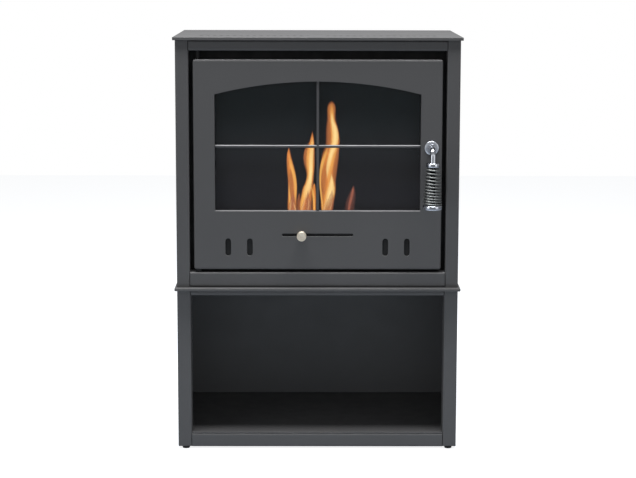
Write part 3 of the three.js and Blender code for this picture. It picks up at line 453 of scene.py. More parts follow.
def zinc():
    finish = Finish("zinc_finish", "a6abb0", 0.38, metallic=0.9)
    finish.round_edges(0.0006)
    finish.tint(finish.range(finish.cells(0.004), 0.1, 0.6, 0.0, 0.45), "8b9096")
    finish.tint(finish.edges(0.5), "c9cdd2")
    finish.sheen(size=0.003, levels=(0.3, 0.5))
    finish.bump(finish.noise(0.0008, 3.0), 0.00004, 0.5)
    return finish


RING_PITCH = 0.6 * MM  # of the marks left by turning


def nickel():
    """Turned metal: fine rings about the piece's own Y axis."""
    finish = Finish("nickel_finish", "e6dccb", 0.4, metallic=1.0)
    radius = finish.length(finish.axis("X"), finish.axis("Z"))
    rings = finish.math("SINE", finish.times(radius, FULL_TURN / RING_PITCH))
    finish.mottle("c6b69c", size=0.004, between=(0.35, 0.7), most=0.4, detail=3)
    finish.sheen(size=0.0015, levels=(0.34, 0.48), detail=3)
    finish.bump(rings, 0.00003, 0.5)
    return finish


def stainless():
    finish = Finish("stainless_finish", "a9a7a3", 0.3, metallic=0.95)
    finish.mottle("8f8269", size=0.02, between=(0.45, 0.75), most=0.6)
    finish.mottle("4e5570", size=0.008, between=(0.6, 0.8), most=0.5, detail=5)
    finish.sheen(size=0.01, levels=(0.24, 0.4))
    finish.bump(finish.noise(0.0006, 2.0, 0.6, (40, 1, 1)), 0.00004, 0.6)
    return finish


def glass():
    finish = Finish("ceramic_glass_finish", "2c3437", 0.04, shine=0.5)
    # paler towards the bottom: painted light
    paler_low = finish.range(finish.axis("Z"), 0.56, 0.76, 1.0, 0.0)
    finish.tint(paler_low, "424246")
    finish.mottle("333438", size=0.15, between=(0.4, 0.75), most=0.3, detail=3)
    finish.sheen(size=0.05, levels=(0.03, 0.08), detail=3, between=(0.4, 0.8))
    finish.set("Alpha", 0.3)
    return finish


def seal_tape():
    """Braided glass tape: dark strands with paler fibres on their crowns."""
    finish = Finish("seal_tape_finish", "3c3a37", 0.95, shine=0.2)
    finish.mottle("5d5a54", size=0.0009, between=(0.45, 0.7), most=0.6, roughness=0.7)
    finish.mottle("262422", size=0.02, between=(0.45, 0.75), most=0.5, detail=3)
    finish.bump(finish.noise(0.0004, 3.0), 0.0001, 0.7)
    return finish


def ceramic_wool():
    finish = Finish("ceramic_wool_finish", "b9b3a8", 1.0, shine=0.1)
    finish.mottle("5f574d", size=0.02, between=(0.4, 0.7), most=0.8, detail=5)
    finish.mottle("2c2926", size=0.006, between=(0.5, 0.8), most=0.8, detail=5, roughness=0.7)
    finish.bump(finish.noise(0.0012, 5.0, 0.7, (6, 1, 1)), 0.0006, 0.9)
    finish.bump(finish.noise(0.001, 4.0, 0.7, (1, 5, 1)), 0.0004, 0.8)
    return finish


def foot_plastic():
    finish = Finish("foot_plastic_finish", "1a1a1b", 0.6, shine=0.4)
    finish.round_edges(0.0005)
    finish.mottle("262627", size=0.006, between=(0.4, 0.7), most=0.5)
    finish.tint(finish.edges(0.6), "3c3c3d")
    finish.bump(finish.noise(0.0005, 2.0), 0.00006, 0.7)
    return finish


def flame_light(name, code, strength):
    """Glows evenly. The mesh's own alpha and fine streaks thin it out to its edges and tips."""
    finish = Finish(name, "000000", 1.0, shine=0.0)
    fade = finish.node("ShaderNodeAttribute", attribute_name=FADE).outputs["Fac"]
    streaks = finish.range(finish.noise(0.004, 3.0, 0.6, (1, 1, 12)), 0.3, 0.7, 0.75, 1.0)
    finish.set("Alpha", finish.times(fade, streaks))
    finish.set("Emission Color", colour(code))
    finish.set("Emission Strength", strength)
    finish.material.cycles.emission_sampling = "NONE"
    return finish


# Each is named after its slot.
SLOTS = (powder_coat, black_steel, chrome, spring_steel, zinc, nickel, stainless, glass)
SLOTS += (seal_tape, ceramic_wool, foot_plastic)
FINISHES = {slot.__name__: slot() for slot in SLOTS}
SLOT_OF = {s["node"]: s["material_slot"] for s in frame["record"]["subparts"]}


# ---------------------------------------------------------------- shading and softened edges

SMOOTH_ANGLE = math.radians(32)
FLAT_ANGLE = math.radians(0.5)
BEVEL_SEGMENTS = 2


def smoothing_group():
    """Smooths faces that meet at a small angle and keeps the other edges sharp."""
    group = bpy.data.node_groups.new("smooth_by_angle", "GeometryNodeTree")
    for way in ("INPUT", "OUTPUT"):
        group.interface.new_socket("Geometry", in_out=way, socket_type="NodeSocketGeometry")
    nodes, links = group.nodes, group.links
    start = nodes.new("NodeGroupInput")
    plain = nodes.new("GeometryNodeRemoveAttribute")
    plain.inputs["Name"].default_value = "custom_normal"
    smooth = nodes.new("GeometryNodeSetShadeSmooth")
    smooth.domain = "FACE"
    angle = nodes.new("GeometryNodeInputMeshEdgeAngle")
    wide = nodes.new("FunctionNodeCompare")
    wide.data_type = "FLOAT"
    wide.operation = "GREATER_THAN"
    wide.inputs["B"].default_value = SMOOTH_ANGLE
    sharp = nodes.new("GeometryNodeSetShadeSmooth")
    sharp.domain = "EDGE"
    sharp.inputs["Shade Smooth"].default_value = False
    end = nodes.new("NodeGroupOutput")
    for source, target in ((start, plain), (plain, smooth), (smooth, sharp), (sharp, end)):
        links.new(source.outputs["Geometry"], target.inputs["Geometry"])
    links.new(angle.outputs["Unsigned Angle"], wide.inputs["A"])
    links.new(wide.outputs["Result"], sharp.inputs["Selection"])
    return group


SMOOTHING = smoothing_group()


def smooth(piece):
    modifier = piece.modifiers.new("smoothing", "NODES")
    modifier.node_group = SMOOTHING
    return piece


def soften(piece, width):
    """Rounds a piece's sharp edges, as folded, cut and coated steel has them."""
    if width:
        merge = piece.modifiers.new("flat faces", "DECIMATE")
        merge.decimate_type = "DISSOLVE"
        merge.angle_limit = FLAT_ANGLE
        bevel = piece.modifiers.new("soft edges", "BEVEL")
        bevel.width = width
        bevel.segments = BEVEL_SEGMENTS
        bevel.limit_method = "ANGLE"
        bevel.angle_limit = SMOOTH_ANGLE
        bevel.use_clamp_overlap = True
    smooth(piece)
    if width:
        weighted = piece.modifiers.new("flat shading", "WEIGHTED_NORMAL")
        weighted.keep_sharp = True


EDGE_WIDTHS = {
    "powder_coat": 0.4 * MM,
    "black_steel": 0.3 * MM,
    "zinc": 0.3 * MM,
    "stainless": 0.25 * MM,
}


def dress_frame():
    firebox = firebox_steel()
    special = {
        "store_floor": worn_floor_coat(),
        "burner_shelf": firebox,
        # the bars' very pale tops are painted light from above
        "window_bars": top_lit_dusted_coat("bar_coat_finish", "434345", "a2a2a4"),
        "door_panel": top_lit_dusted_coat(),
        "top_plate": vented_coat(),
    }
    for name, piece in frame["nodes"].items():
        slot = SLOT_OF[name]
        finish = firebox if name.startswith("firebox_") else special.get(name, FINISHES[slot])
        piece.data.materials.clear()
        piece.data.materials.append(finish.material)
        soften(piece, EDGE_WIDTHS.get(slot, 0))


# ---------------------------------------------------------------- building pieces


def piece_of(name, corners, faces, body, slot, finish=None, origin=(0, 0, 0)):
    """A new mesh piece that rides on a body. Its corners are about origin."""
    mesh = bpy.data.meshes.new(name)
    mesh.from_pydata([tuple(c) for c in corners], [], faces)
    mesh.validate()
    mesh.update()
    mesh.materials.append((finish or FINISHES[slot]).material)
    piece = shown(name, mesh)
    piece.location = origin
    smooth(piece)
    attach(piece, body)
    return piece


def middle(node):
    low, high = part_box(node)
    return (low + high) / 2


ROUNDED_SHARE = 0.45  # of a side, at each of its ends


def rounded(profile, radius, steps):
    """Rounds the corners between the ends of an [r, h] line, by less where a side is short."""
    points = [Vector(p) for p in profile]
    made = [points[0]]
    for before, corner, after in zip(points, points[1:], points[2:]):
        shorter = min((before - corner).length, (after - corner).length)
        reach = min(radius, shorter * ROUNDED_SHARE)
        start = corner + (before - corner).normalized() * reach
        end = corner + (after - corner).normalized() * reach
        for i in range(steps + 1):
            t = i / steps
            made.append(start.lerp(corner, t).lerp(corner.lerp(end, t), t))
    made.append(points[-1])
    return made


def band(here, there, sides):
    """Faces between two rings of corners, given the number of each ring's first corner."""
    steps = [(k, (k + 1) % sides) for k in range(sides)]
    return [(here + k, here + n, there + n, there + k) for k, n in steps]


def around(radius, angle, height):
    return Vector((radius * math.cos(angle), radius * math.sin(angle), height))


def lathe(profile, sides=64, turn=None):
    """Corners and faces of a closed turned solid about Z. The [r, h] line starts and ends on the
    axis, or closes as a ring where it does not."""
    on_axis = profile[0][0] < 1e-9 and profile[-1][0] < 1e-9
    rows = profile[1:-1] if on_axis else profile
    corners, faces = [], []
    for radius, height in rows:
        corners += [around(radius, FULL_TURN * k / sides, height) for k in range(sides)]
    count = len(rows)
    for i in range(count if not on_axis else count - 1):
        faces += band(i * sides, (i + 1) % count * sides, sides)
    if on_axis:
        first, last = len(corners), len(corners) + 1
        corners += [Vector((0, 0, profile[0][1])), Vector((0, 0, profile[-1][1]))]
        end = (count - 1) * sides
        for k in range(sides):
            n = (k + 1) % sides
            faces.append((first, n, k))
            faces.append((last, end + k, end + n))
    if turn is not None:
        corners = [turn @ c for c in corners]
    return corners, faces


def tube(path, radius, sides):
    """Corners and faces of a round wire along a line of points, with flat ends."""
    rings = []
    normal = Vector((1, 0, 0))
    for i, centre in enumerate(path):
        along = (path[min(i + 1, len(path) - 1)] - path[max(i - 1, 0)]).normalized()
        normal = (normal - along * normal.dot(along)).normalized()
        across = along.cross(normal)
        angles = [FULL_TURN * k / sides for k in range(sides)]
        spokes = [math.cos(angle) * normal + math.sin(angle) * across for angle in angles]
        rings.append([centre + radius * spoke for spoke in spokes])
    return loft(rings)


def turned(line, edge, steps, sides=64, turn=None):
    """A turned solid from an [r, h] line, its corners rounded. All in millimetres."""
    line = rounded([(r * MM, h * MM) for r, h in line], edge * MM, steps)
    return lathe(line, sides, turn)


def merged(parts):
    """Several (corners, faces) as one."""
    corners, faces = [], []
    for more_corners, more_faces in parts:
        shift = len(corners)
        corners += more_corners
        faces += [tuple(i + shift for i in face) for face in more_faces]
    return corners, faces


def loft(rings):
    """Corners and faces of a closed solid through rings of equal length, each of them
    counter-clockwise as seen from beyond the last."""
    sides = len(rings[0])
    corners = [Vector(c) for ring in rings for c in ring]
    faces = []
    for i in range(len(rings) - 1):
        faces += band(i * sides, (i + 1) * sides, sides)
    faces.append(tuple(reversed(range(sides))))
    faces.append(tuple(range((len(rings) - 1) * sides, len(rings) * sides)))
    return corners, faces


def circle(radius, height, sides, shape=None):
    """A ring of points about Z. shape gives what each angle's radius is multiplied by."""
    angles = [FULL_TURN * k / sides for k in range(sides)]
    return [around(radius * (shape(a) if shape else 1), a, height) for a in angles]


FACING_FRONT = Matrix.Rotation(math.pi / 2, 4, "X")  # turns +Z to -Y
FACING_BACK = Matrix.Rotation(-math.pi / 2, 4, "X")  # turns +Z to +Y


# ---------------------------------------------------------------- handle

HANDLE = middle("handle_rosette")  # on the spindle's axis
GRIP = middle("handle_end_cap")  # on the grip's axis
GRIP_FOOT = Vector((GRIP.x, GRIP.y, 0))
WIRE = 3.2 * MM
COIL_TURNS = 12.25
COIL_PITCHES = (7.9, 5.3)  # under the collar and above the cap, before they are fitted in
COIL_CLOSED = 0.5  # turns over which each end winds flat
COIL_STEPS = 36  # a turn
STEM_RADIUS = 5.75 * MM
ELBOW_RADIUS = 16 * MM
ELBOW_STEPS = 16
THREAD_PITCH = 1.25 * MM
END_GAP = 0.3 * MM  # from the stem's steps to the rosette and the cam


def grip_coil():
    """The wire widens from the collar to the cap and its turns close up. Its ends lie flat."""
    low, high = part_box("handle_coil")
    radius_low = GRIP.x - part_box("handle_end_cap")[0].x - WIRE / 2
    radius_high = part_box("handle_collar")[1].x - middle("handle_collar").x + 1.2 * MM - WIRE / 2
    steps = round(COIL_TURNS * COIL_STEPS)
    falls = [0.0]
    for i in range(steps):
        share = (i + 0.5) / steps
        from_end = min(share, 1 - share) * COIL_TURNS
        opened = min(from_end / COIL_CLOSED, 1)
        pitch = COIL_PITCHES[0] + (COIL_PITCHES[1] - COIL_PITCHES[0]) * share
        falls.append(falls[-1] + pitch * opened**2 * (3 - 2 * opened))
    wound = (high.z - low.z - WIRE) / falls[-1]
    path = []
    for i, fall in enumerate(falls):
        radius = radius_high + (radius_low - radius_high) * i / steps
        height = high.z - WIRE / 2 - fall * wound
        path.append(around(radius, FULL_TURN * i / COIL_STEPS, height))
    wire = tube(path, WIRE / 2, 14)
    coil = piece_of("grip_wire", *wire, "handle", "spring_steel", origin=GRIP_FOOT)
    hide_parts("handle_coil")


def handle_stem():
    """The bent bar: spindle, collar against the rosette, elbow and the grip's core."""
    low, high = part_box("handle_stem")
    z = HANDLE.z
    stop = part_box("handle_rosette")[0].y - END_GAP
    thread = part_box("latch_cam")[0].y - END_GAP
    path = [Vector((GRIP.x, GRIP.y, low.z)), Vector((GRIP.x, GRIP.y, z - ELBOW_RADIUS))]
    for k in range(1, ELBOW_STEPS + 1):
        angle = math.pi - math.pi / 2 * k / ELBOW_STEPS
        y = GRIP.y + ELBOW_RADIUS + ELBOW_RADIUS * math.cos(angle)
        path.append(Vector((GRIP.x, y, z - ELBOW_RADIUS + ELBOW_RADIUS * math.sin(angle))))
    path.append(Vector((GRIP.x, thread, z)))
    core = tube(path, STEM_RADIUS, 32)
    place = Matrix.Translation((GRIP.x, stop, z)) @ FACING_FRONT
    collar = turned([(0, 0), (8, 0), (8, 2.4), (0, 2.4)], 0.5, 4, 48, place)
    ridges = []
    for k in range(round((high.y - thread) / THREAD_PITCH)):
        ridges += [(3.5 * MM, k * THREAD_PITCH), (4 * MM, (k + 0.5) * THREAD_PITCH)]
    line = [(0, 0)] + ridges + [(3.4 * MM, high.y - thread), (0, high.y - thread)]
    place = Matrix.Translation((GRIP.x, thread, z)) @ FACING_BACK
    thread_end = lathe(line, 32, place)
    finish = stem_chrome(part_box("handle_collar")[0].z)
    parts = merged([core, collar, thread_end])
    stem = piece_of("bent_stem", *parts, "handle", "chrome", finish)
    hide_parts("handle_stem")


def handle_collar():
    """A turned ring round the stem with rounded outer edges."""
    low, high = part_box("handle_collar")
    inner, outer = STEM_RADIUS + 0.1 * MM, (high.x - low.x) / 2
    line = [(inner, low.z), (outer, low.z), (outer, high.z), (inner, high.z)]
    ring = lathe(rounded(line, 2 * MM, 6))
    collar = piece_of("grip_collar", *ring, "handle", "chrome", origin=GRIP_FOOT)
    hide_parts("handle_collar")


def handle_cap():
    """A turned cap with a dished end inside a flat rim."""
    low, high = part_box("handle_end_cap")
    radius = (high.x - low.x) / 2 / MM
    height = (high.z - low.z) / MM
    line = [(0, 0.8), (radius - 6, 0.8), (radius - 5, 0), (radius, 0)]
    line += [(radius, height), (STEM_RADIUS / MM, height), (0, height)]
    centre = Vector((GRIP.x, GRIP.y, low.z))
    cap = piece_of("grip_end_cap", *turned(line, 2.2, 7), "handle", "chrome", origin=centre)
    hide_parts("handle_end_cap")


def rosette():
    """A gently domed disc with a rolled edge and a boss round the spindle."""
    low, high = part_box("handle_rosette")
    outer = (high.x - low.x) / 2 / MM
    thick = (high.y - low.y) / MM
    bore = STEM_RADIUS / MM + 0.2
    line = [(bore, 0), (outer, 0), (outer, thick - 1.3), (outer - 2.2, thick - 0.5)]
    line += [(bore + 2.6, thick - 0.3), (bore + 1.6, thick - 0.9), (bore + 1, thick)]
    shape = turned(line + [(bore, thick)], 1, 5, 96, FACING_FRONT)
    centre = Vector((HANDLE.x, high.y, HANDLE.z))
    disc = piece_of("spindle_rosette", *shape, "door", "chrome", satin_chrome(), centre)
    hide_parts("handle_rosette")


# ---------------------------------------------------------------- knob


def slider_knob():
    """A turned head on a waisted neck, with a ring groove and a dished face."""
    low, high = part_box("damper_knob")
    radius = (high.x - low.x) / 2 / MM
    length = (high.y - low.y) / MM
    line = [(0, 0), (7, 0), (7, 1.6), (5, 2.6), (5, 4.6), (radius - 2.4, 6.6), (radius, 9.5)]
    line += [(radius, length - 7), (radius - 0.8, length - 6.4), (radius - 0.8, length - 5.6)]
    line += [(radius, length - 5), (radius, length), (radius - 3, length), (0, length - 0.8)]
    centre = middle("damper_knob")
    centre.y = high.y
    shape = turned(line, 1.4, 5, 72, FACING_FRONT)
    knob = piece_of("turned_knob", *shape, "damper", "nickel", origin=centre)
    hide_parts("damper_knob")


# ---------------------------------------------------------------- seal and wool

ARCH_RISE = 27.1 * MM
SEAL_WIDTH = 9 * MM
SEAL_INNER = 0.4 * MM  # from the window's edge to the tape
BRAID = 3.4 * MM
TAPE_STEP = 0.9 * MM
TAPE_SIDES = 16  # corners round the tape's section

WOOL_CORNER = 6 * MM  # radius of the block's upright edges
WOOL_ROLL = 4 * MM  # radius of its upper rim
WOOL_ROLL_STEPS = 5
WOOL_CORNER_STEPS = 6
WOOL_STEP = 2.4 * MM  # between the rings of its upper face
WOOL_LONG_STEPS, WOOL_SHORT_STEPS = 70, 34  # along its sides
HILL, TUFT = 26 * MM, 5 * MM  # sizes of its lumps


def window_line(grow):
    """Points along the window's outline, moved out by grow: along the sill, up the right side,
    over the arch and down the left side."""
    low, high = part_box("glass_seal")
    half = (high.x - low.x) / 2 - SEAL_WIDTH
    sill, crown = low.z + SEAL_WIDTH, high.z - SEAL_WIDTH
    radius = (half**2 + ARCH_RISE**2) / (2 * ARCH_RISE)
    centre = crown - radius
    side = half + grow
    spread = math.asin(side / (radius + grow))
    spring = centre + (radius + grow) * math.cos(spread)

    def straight(start, end, steps):
        return [Vector(start).lerp(Vector(end), i / steps) for i in range(steps)]

    base = round(2 * half / TAPE_STEP)
    rise = round((crown - ARCH_RISE - sill) / TAPE_STEP)
    line = straight((-side, sill - grow), (side, sill - grow), base)
    line += straight((side, sill - grow), (side, spring), rise)
    for i in range(base):
        angle = spread * (1 - 2 * i / base)
        reach = radius + grow
        line.append(Vector((reach * math.sin(angle), centre + reach * math.cos(angle))))
    return line + straight((-side, spring), (-side, sill - grow), rise)


def woven_seal():
    """A flat braided tape between the door's window and its glass."""
    low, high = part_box("glass_seal")
    middle_y, thick = (low.y + high.y) / 2, (high.y - low.y) / 2
    inner, outer = window_line(SEAL_INNER), window_line(SEAL_WIDTH - 0.2 * MM)
    section = [math.cos(FULL_TURN * k / TAPE_SIDES) for k in range(TAPE_SIDES)]
    corners, faces = [], []
    for i, (near, far) in enumerate(zip(inner, outer)):
        for k, u in enumerate(section):
            side = 1 if k < TAPE_SIDES / 2 else -1
            rounding = (1 - abs(u) ** 6) ** 0.5
            phase = i * TAPE_STEP / BRAID
            strands = math.cos(FULL_TURN * (phase + u)) * math.cos(FULL_TURN * (phase - u))
            depth = side * thick * rounding * (0.86 + 0.13 * strands)
            spot = near.lerp(far, (1 + u) / 2)
            corners.append(Vector((spot.x, middle_y + depth, spot.y)))
    stations = len(inner)
    for i in range(stations):
        faces += band((i + 1) % stations * TAPE_SIDES, i * TAPE_SIDES, TAPE_SIDES)
    tape = piece_of("woven_glass_seal", corners, faces, "door", "seal_tape")
    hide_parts("glass_seal")


def felted_wool():
    """The block of ceramic wool in the tank: rolled edges, a lumpy and fibrous upper face."""
    low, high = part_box("ceramic_wool")
    half_x, half_y = (high.x - low.x) / 2, (high.y - low.y) / 2
    centre = (low + high) / 2

    def outline(inset, height, lumps=0.0):
        corner = max(WOOL_CORNER - inset, 1 * MM)
        reach_x, reach_y = half_x - inset - corner, half_y - inset - corner
        ring = []
        for sign_x, sign_y, start in ((1, 1, 0), (-1, 1, 1), (-1, -1, 2), (1, -1, 3)):
            for k in range(WOOL_CORNER_STEPS + 1):
                angle = math.pi / 2 * (start + k / WOOL_CORNER_STEPS)
                x = sign_x * reach_x + corner * math.cos(angle)
                ring.append(Vector((x, sign_y * reach_y + corner * math.sin(angle), height)))
        filled = []
        for a, b in zip(ring, ring[1:] + ring[:1]):
            steps = 1
            if (a - b).length > 20 * MM:  # a straight side, not a piece of a corner
                lengthwise = abs(a.x - b.x) > abs(a.y - b.y)
                steps = WOOL_LONG_STEPS if lengthwise else WOOL_SHORT_STEPS
            filled += [a.lerp(b, t / steps) for t in range(steps)]
        for c in filled:
            hills = noise.fractal(c / HILL, 0.9, 2.1, 3)
            tufts = noise.fractal(c / TUFT + Vector((7, 3, 1)), 0.8, 2.1, 3)
            c.z -= lumps * (0.5 + 0.35 * hills + 0.25 * tufts)
        return filled

    bottom, top = low.z - centre.z, high.z - centre.z
    rings = [outline(2 * MM, bottom), outline(0, bottom + 2 * MM), outline(0, top - WOOL_ROLL)]
    for k in range(1, WOOL_ROLL_STEPS + 1):
        angle = math.pi / 2 * k / WOOL_ROLL_STEPS
        inset = WOOL_ROLL * (1 - math.cos(angle))
        height = top - WOOL_ROLL * (1 - math.sin(angle))
        rings.append(outline(inset, height, 1.6 * MM * k / WOOL_ROLL_STEPS))
    inset = WOOL_CORNER
    while inset < half_y - 1.5 * MM:
        rings.append(outline(inset, top, 2.2 * MM))
        inset += WOOL_STEP
    wool = piece_of("felted_wool", *loft(rings), "burner", "ceramic_wool", origin=centre)
    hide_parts("ceramic_wool")


# ---------------------------------------------------------------- fixings and feet

SCREW_RADIUS = 3.6 * MM
SCREW_HEIGHT = 2.2 * MM
SCREW_SOCKET = 1.5 * MM
SCREW_SIDES = 24
SHEET_END = 30 * MM  # from a sheet's end to its first screw
SHEET_RIM = 10 * MM  # from a sheet's side to its screws
CLIP_RIM = 6 * MM  # from the side of a clip's foot to its screw
CLIP_THICK = 1.5 * MM

DISC_HEIGHT = 5 * MM
DISC_SIDES = 72
DISC_SCALLOPS = 12
STUD_PITCH = 1 * MM
STUD_SIDES = 32


def screw(place, turn):
    """A domed head with a six-sided socket, its axis turned to face outwards."""

    def hexagon(angle):
        within = (angle + math.pi / 6) % (math.pi / 3) - math.pi / 6
        return math.cos(math.pi / 6) / math.cos(within)

    def ring(radius, share, shape=None):
        return circle(radius, SCREW_HEIGHT * share, SCREW_SIDES, shape)

    rings = [ring(SCREW_RADIUS, 0), ring(SCREW_RADIUS, 0.25)]
    for angle in (0.35, 0.7, 1.0):
        rings.append(ring(SCREW_RADIUS * math.cos(angle), 0.25 + 0.75 * math.sin(angle)))
    rings.append(ring(SCREW_SOCKET * 1.12, 1, hexagon))
    rings += [ring(SCREW_SOCKET, share, hexagon) for share in (0.9, 0.35)]
    corners, faces = loft(rings)
    placing = Matrix.Translation(place) @ turn
    return [placing @ c for c in corners], faces


def rear_screws():
    """Rows of screws that hold the back sheets to the folded flanges."""
    shapes = []
    rows = (
        ("left_side_panel", "right_side_panel", 5),
        ("store_left_panel", "store_right_panel", 4),
    )
    for left, right, count in rows:
        low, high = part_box(left)
        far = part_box(right)[1]
        for i in range(count):
            height = low.z + SHEET_END + (high.z - low.z - 2 * SHEET_END) * i / (count - 1)
            for x in (low.x + SHEET_RIM, far.x - SHEET_RIM):
                shapes.append(screw((x, high.y, height), FACING_BACK))
    piece_of("rear_sheet_screws", *merged(shapes), "carcass", "black_steel")


def clip_screws():
    """One screw through the foot of each glass clip."""
    shapes = []
    for side in ("left", "right"):
        for level in ("lower", "upper"):
            low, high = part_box(f"glass_clip_{side}_{level}")
            x = high.x - CLIP_RIM if side == "right" else low.x + CLIP_RIM
            shapes.append(screw((x, low.y + CLIP_THICK, (low.z + high.z) / 2), FACING_BACK))
    piece_of("glass_clip_screws", *merged(shapes), "door", "zinc")


def levelling_feet():
    """Scalloped plastic discs, each on a threaded stud."""

    def grip(angle):
        return 1 - 0.05 * (0.5 + 0.5 * math.cos(DISC_SCALLOPS * angle))

    for end in ("front_left", "front_right", "rear_left", "rear_right"):
        low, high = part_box(f"foot_{end}")
        radius = (high.x - low.x) / 2
        profile = (
            (radius - 1.6 * MM, 0.4 * MM, None),
            (radius - 1.2 * MM, 0, None),
            (radius - 0.6 * MM, 0, None),
            (radius, 0.8 * MM, grip),
            (radius, DISC_HEIGHT - 0.8 * MM, grip),
            (radius - 0.6 * MM, DISC_HEIGHT - 0.1 * MM, grip),
            (3.4 * MM, DISC_HEIGHT - 0.1 * MM, None),
        )
        rings = [circle(reach, height, DISC_SIDES, form) for reach, height, form in profile]
        thread = []
        for k in range(round((high.z - DISC_HEIGHT) / STUD_PITCH)):
            start = DISC_HEIGHT - 0.2 * MM + k * STUD_PITCH
            thread.append(circle(2.55 * MM, start, STUD_SIDES))
            thread.append(circle(3 * MM, start + STUD_PITCH / 2, STUD_SIDES))
        thread.append(circle(2.3 * MM, high.z, STUD_SIDES))
        centre = middle(f"foot_{end}")
        centre.z = 0
        foot = f"levelling_foot_{end}"
        disc = piece_of(foot, *loft(rings), "carcass", "foot_plastic", origin=centre)
        piece_of(f"levelling_stud_{end}", *loft(thread), "carcass", "zinc", origin=centre)
        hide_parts(f"foot_{end}")


# ---------------------------------------------------------------- flames

FLAME_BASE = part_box("ceramic_wool")[1].z
MOUTH_Y = (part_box("burner_top")[0].y + 28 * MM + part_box("burner_lid")[0].y - 8 * MM) / 2
FLAME_GLOW = 2.05  # makes up for the two faces of the glass
FLAME_FLATNESS = 0.42  # depth over width of a strand
FLAME_RINGS, FLAME_SIDES = 56, 20
THINNEST = 0.2  # least half width, in millimetres
SWAY, SWAY_LENGTH = 1.6, 21  # how far and how fast a strand leans back and forth, in millimetres

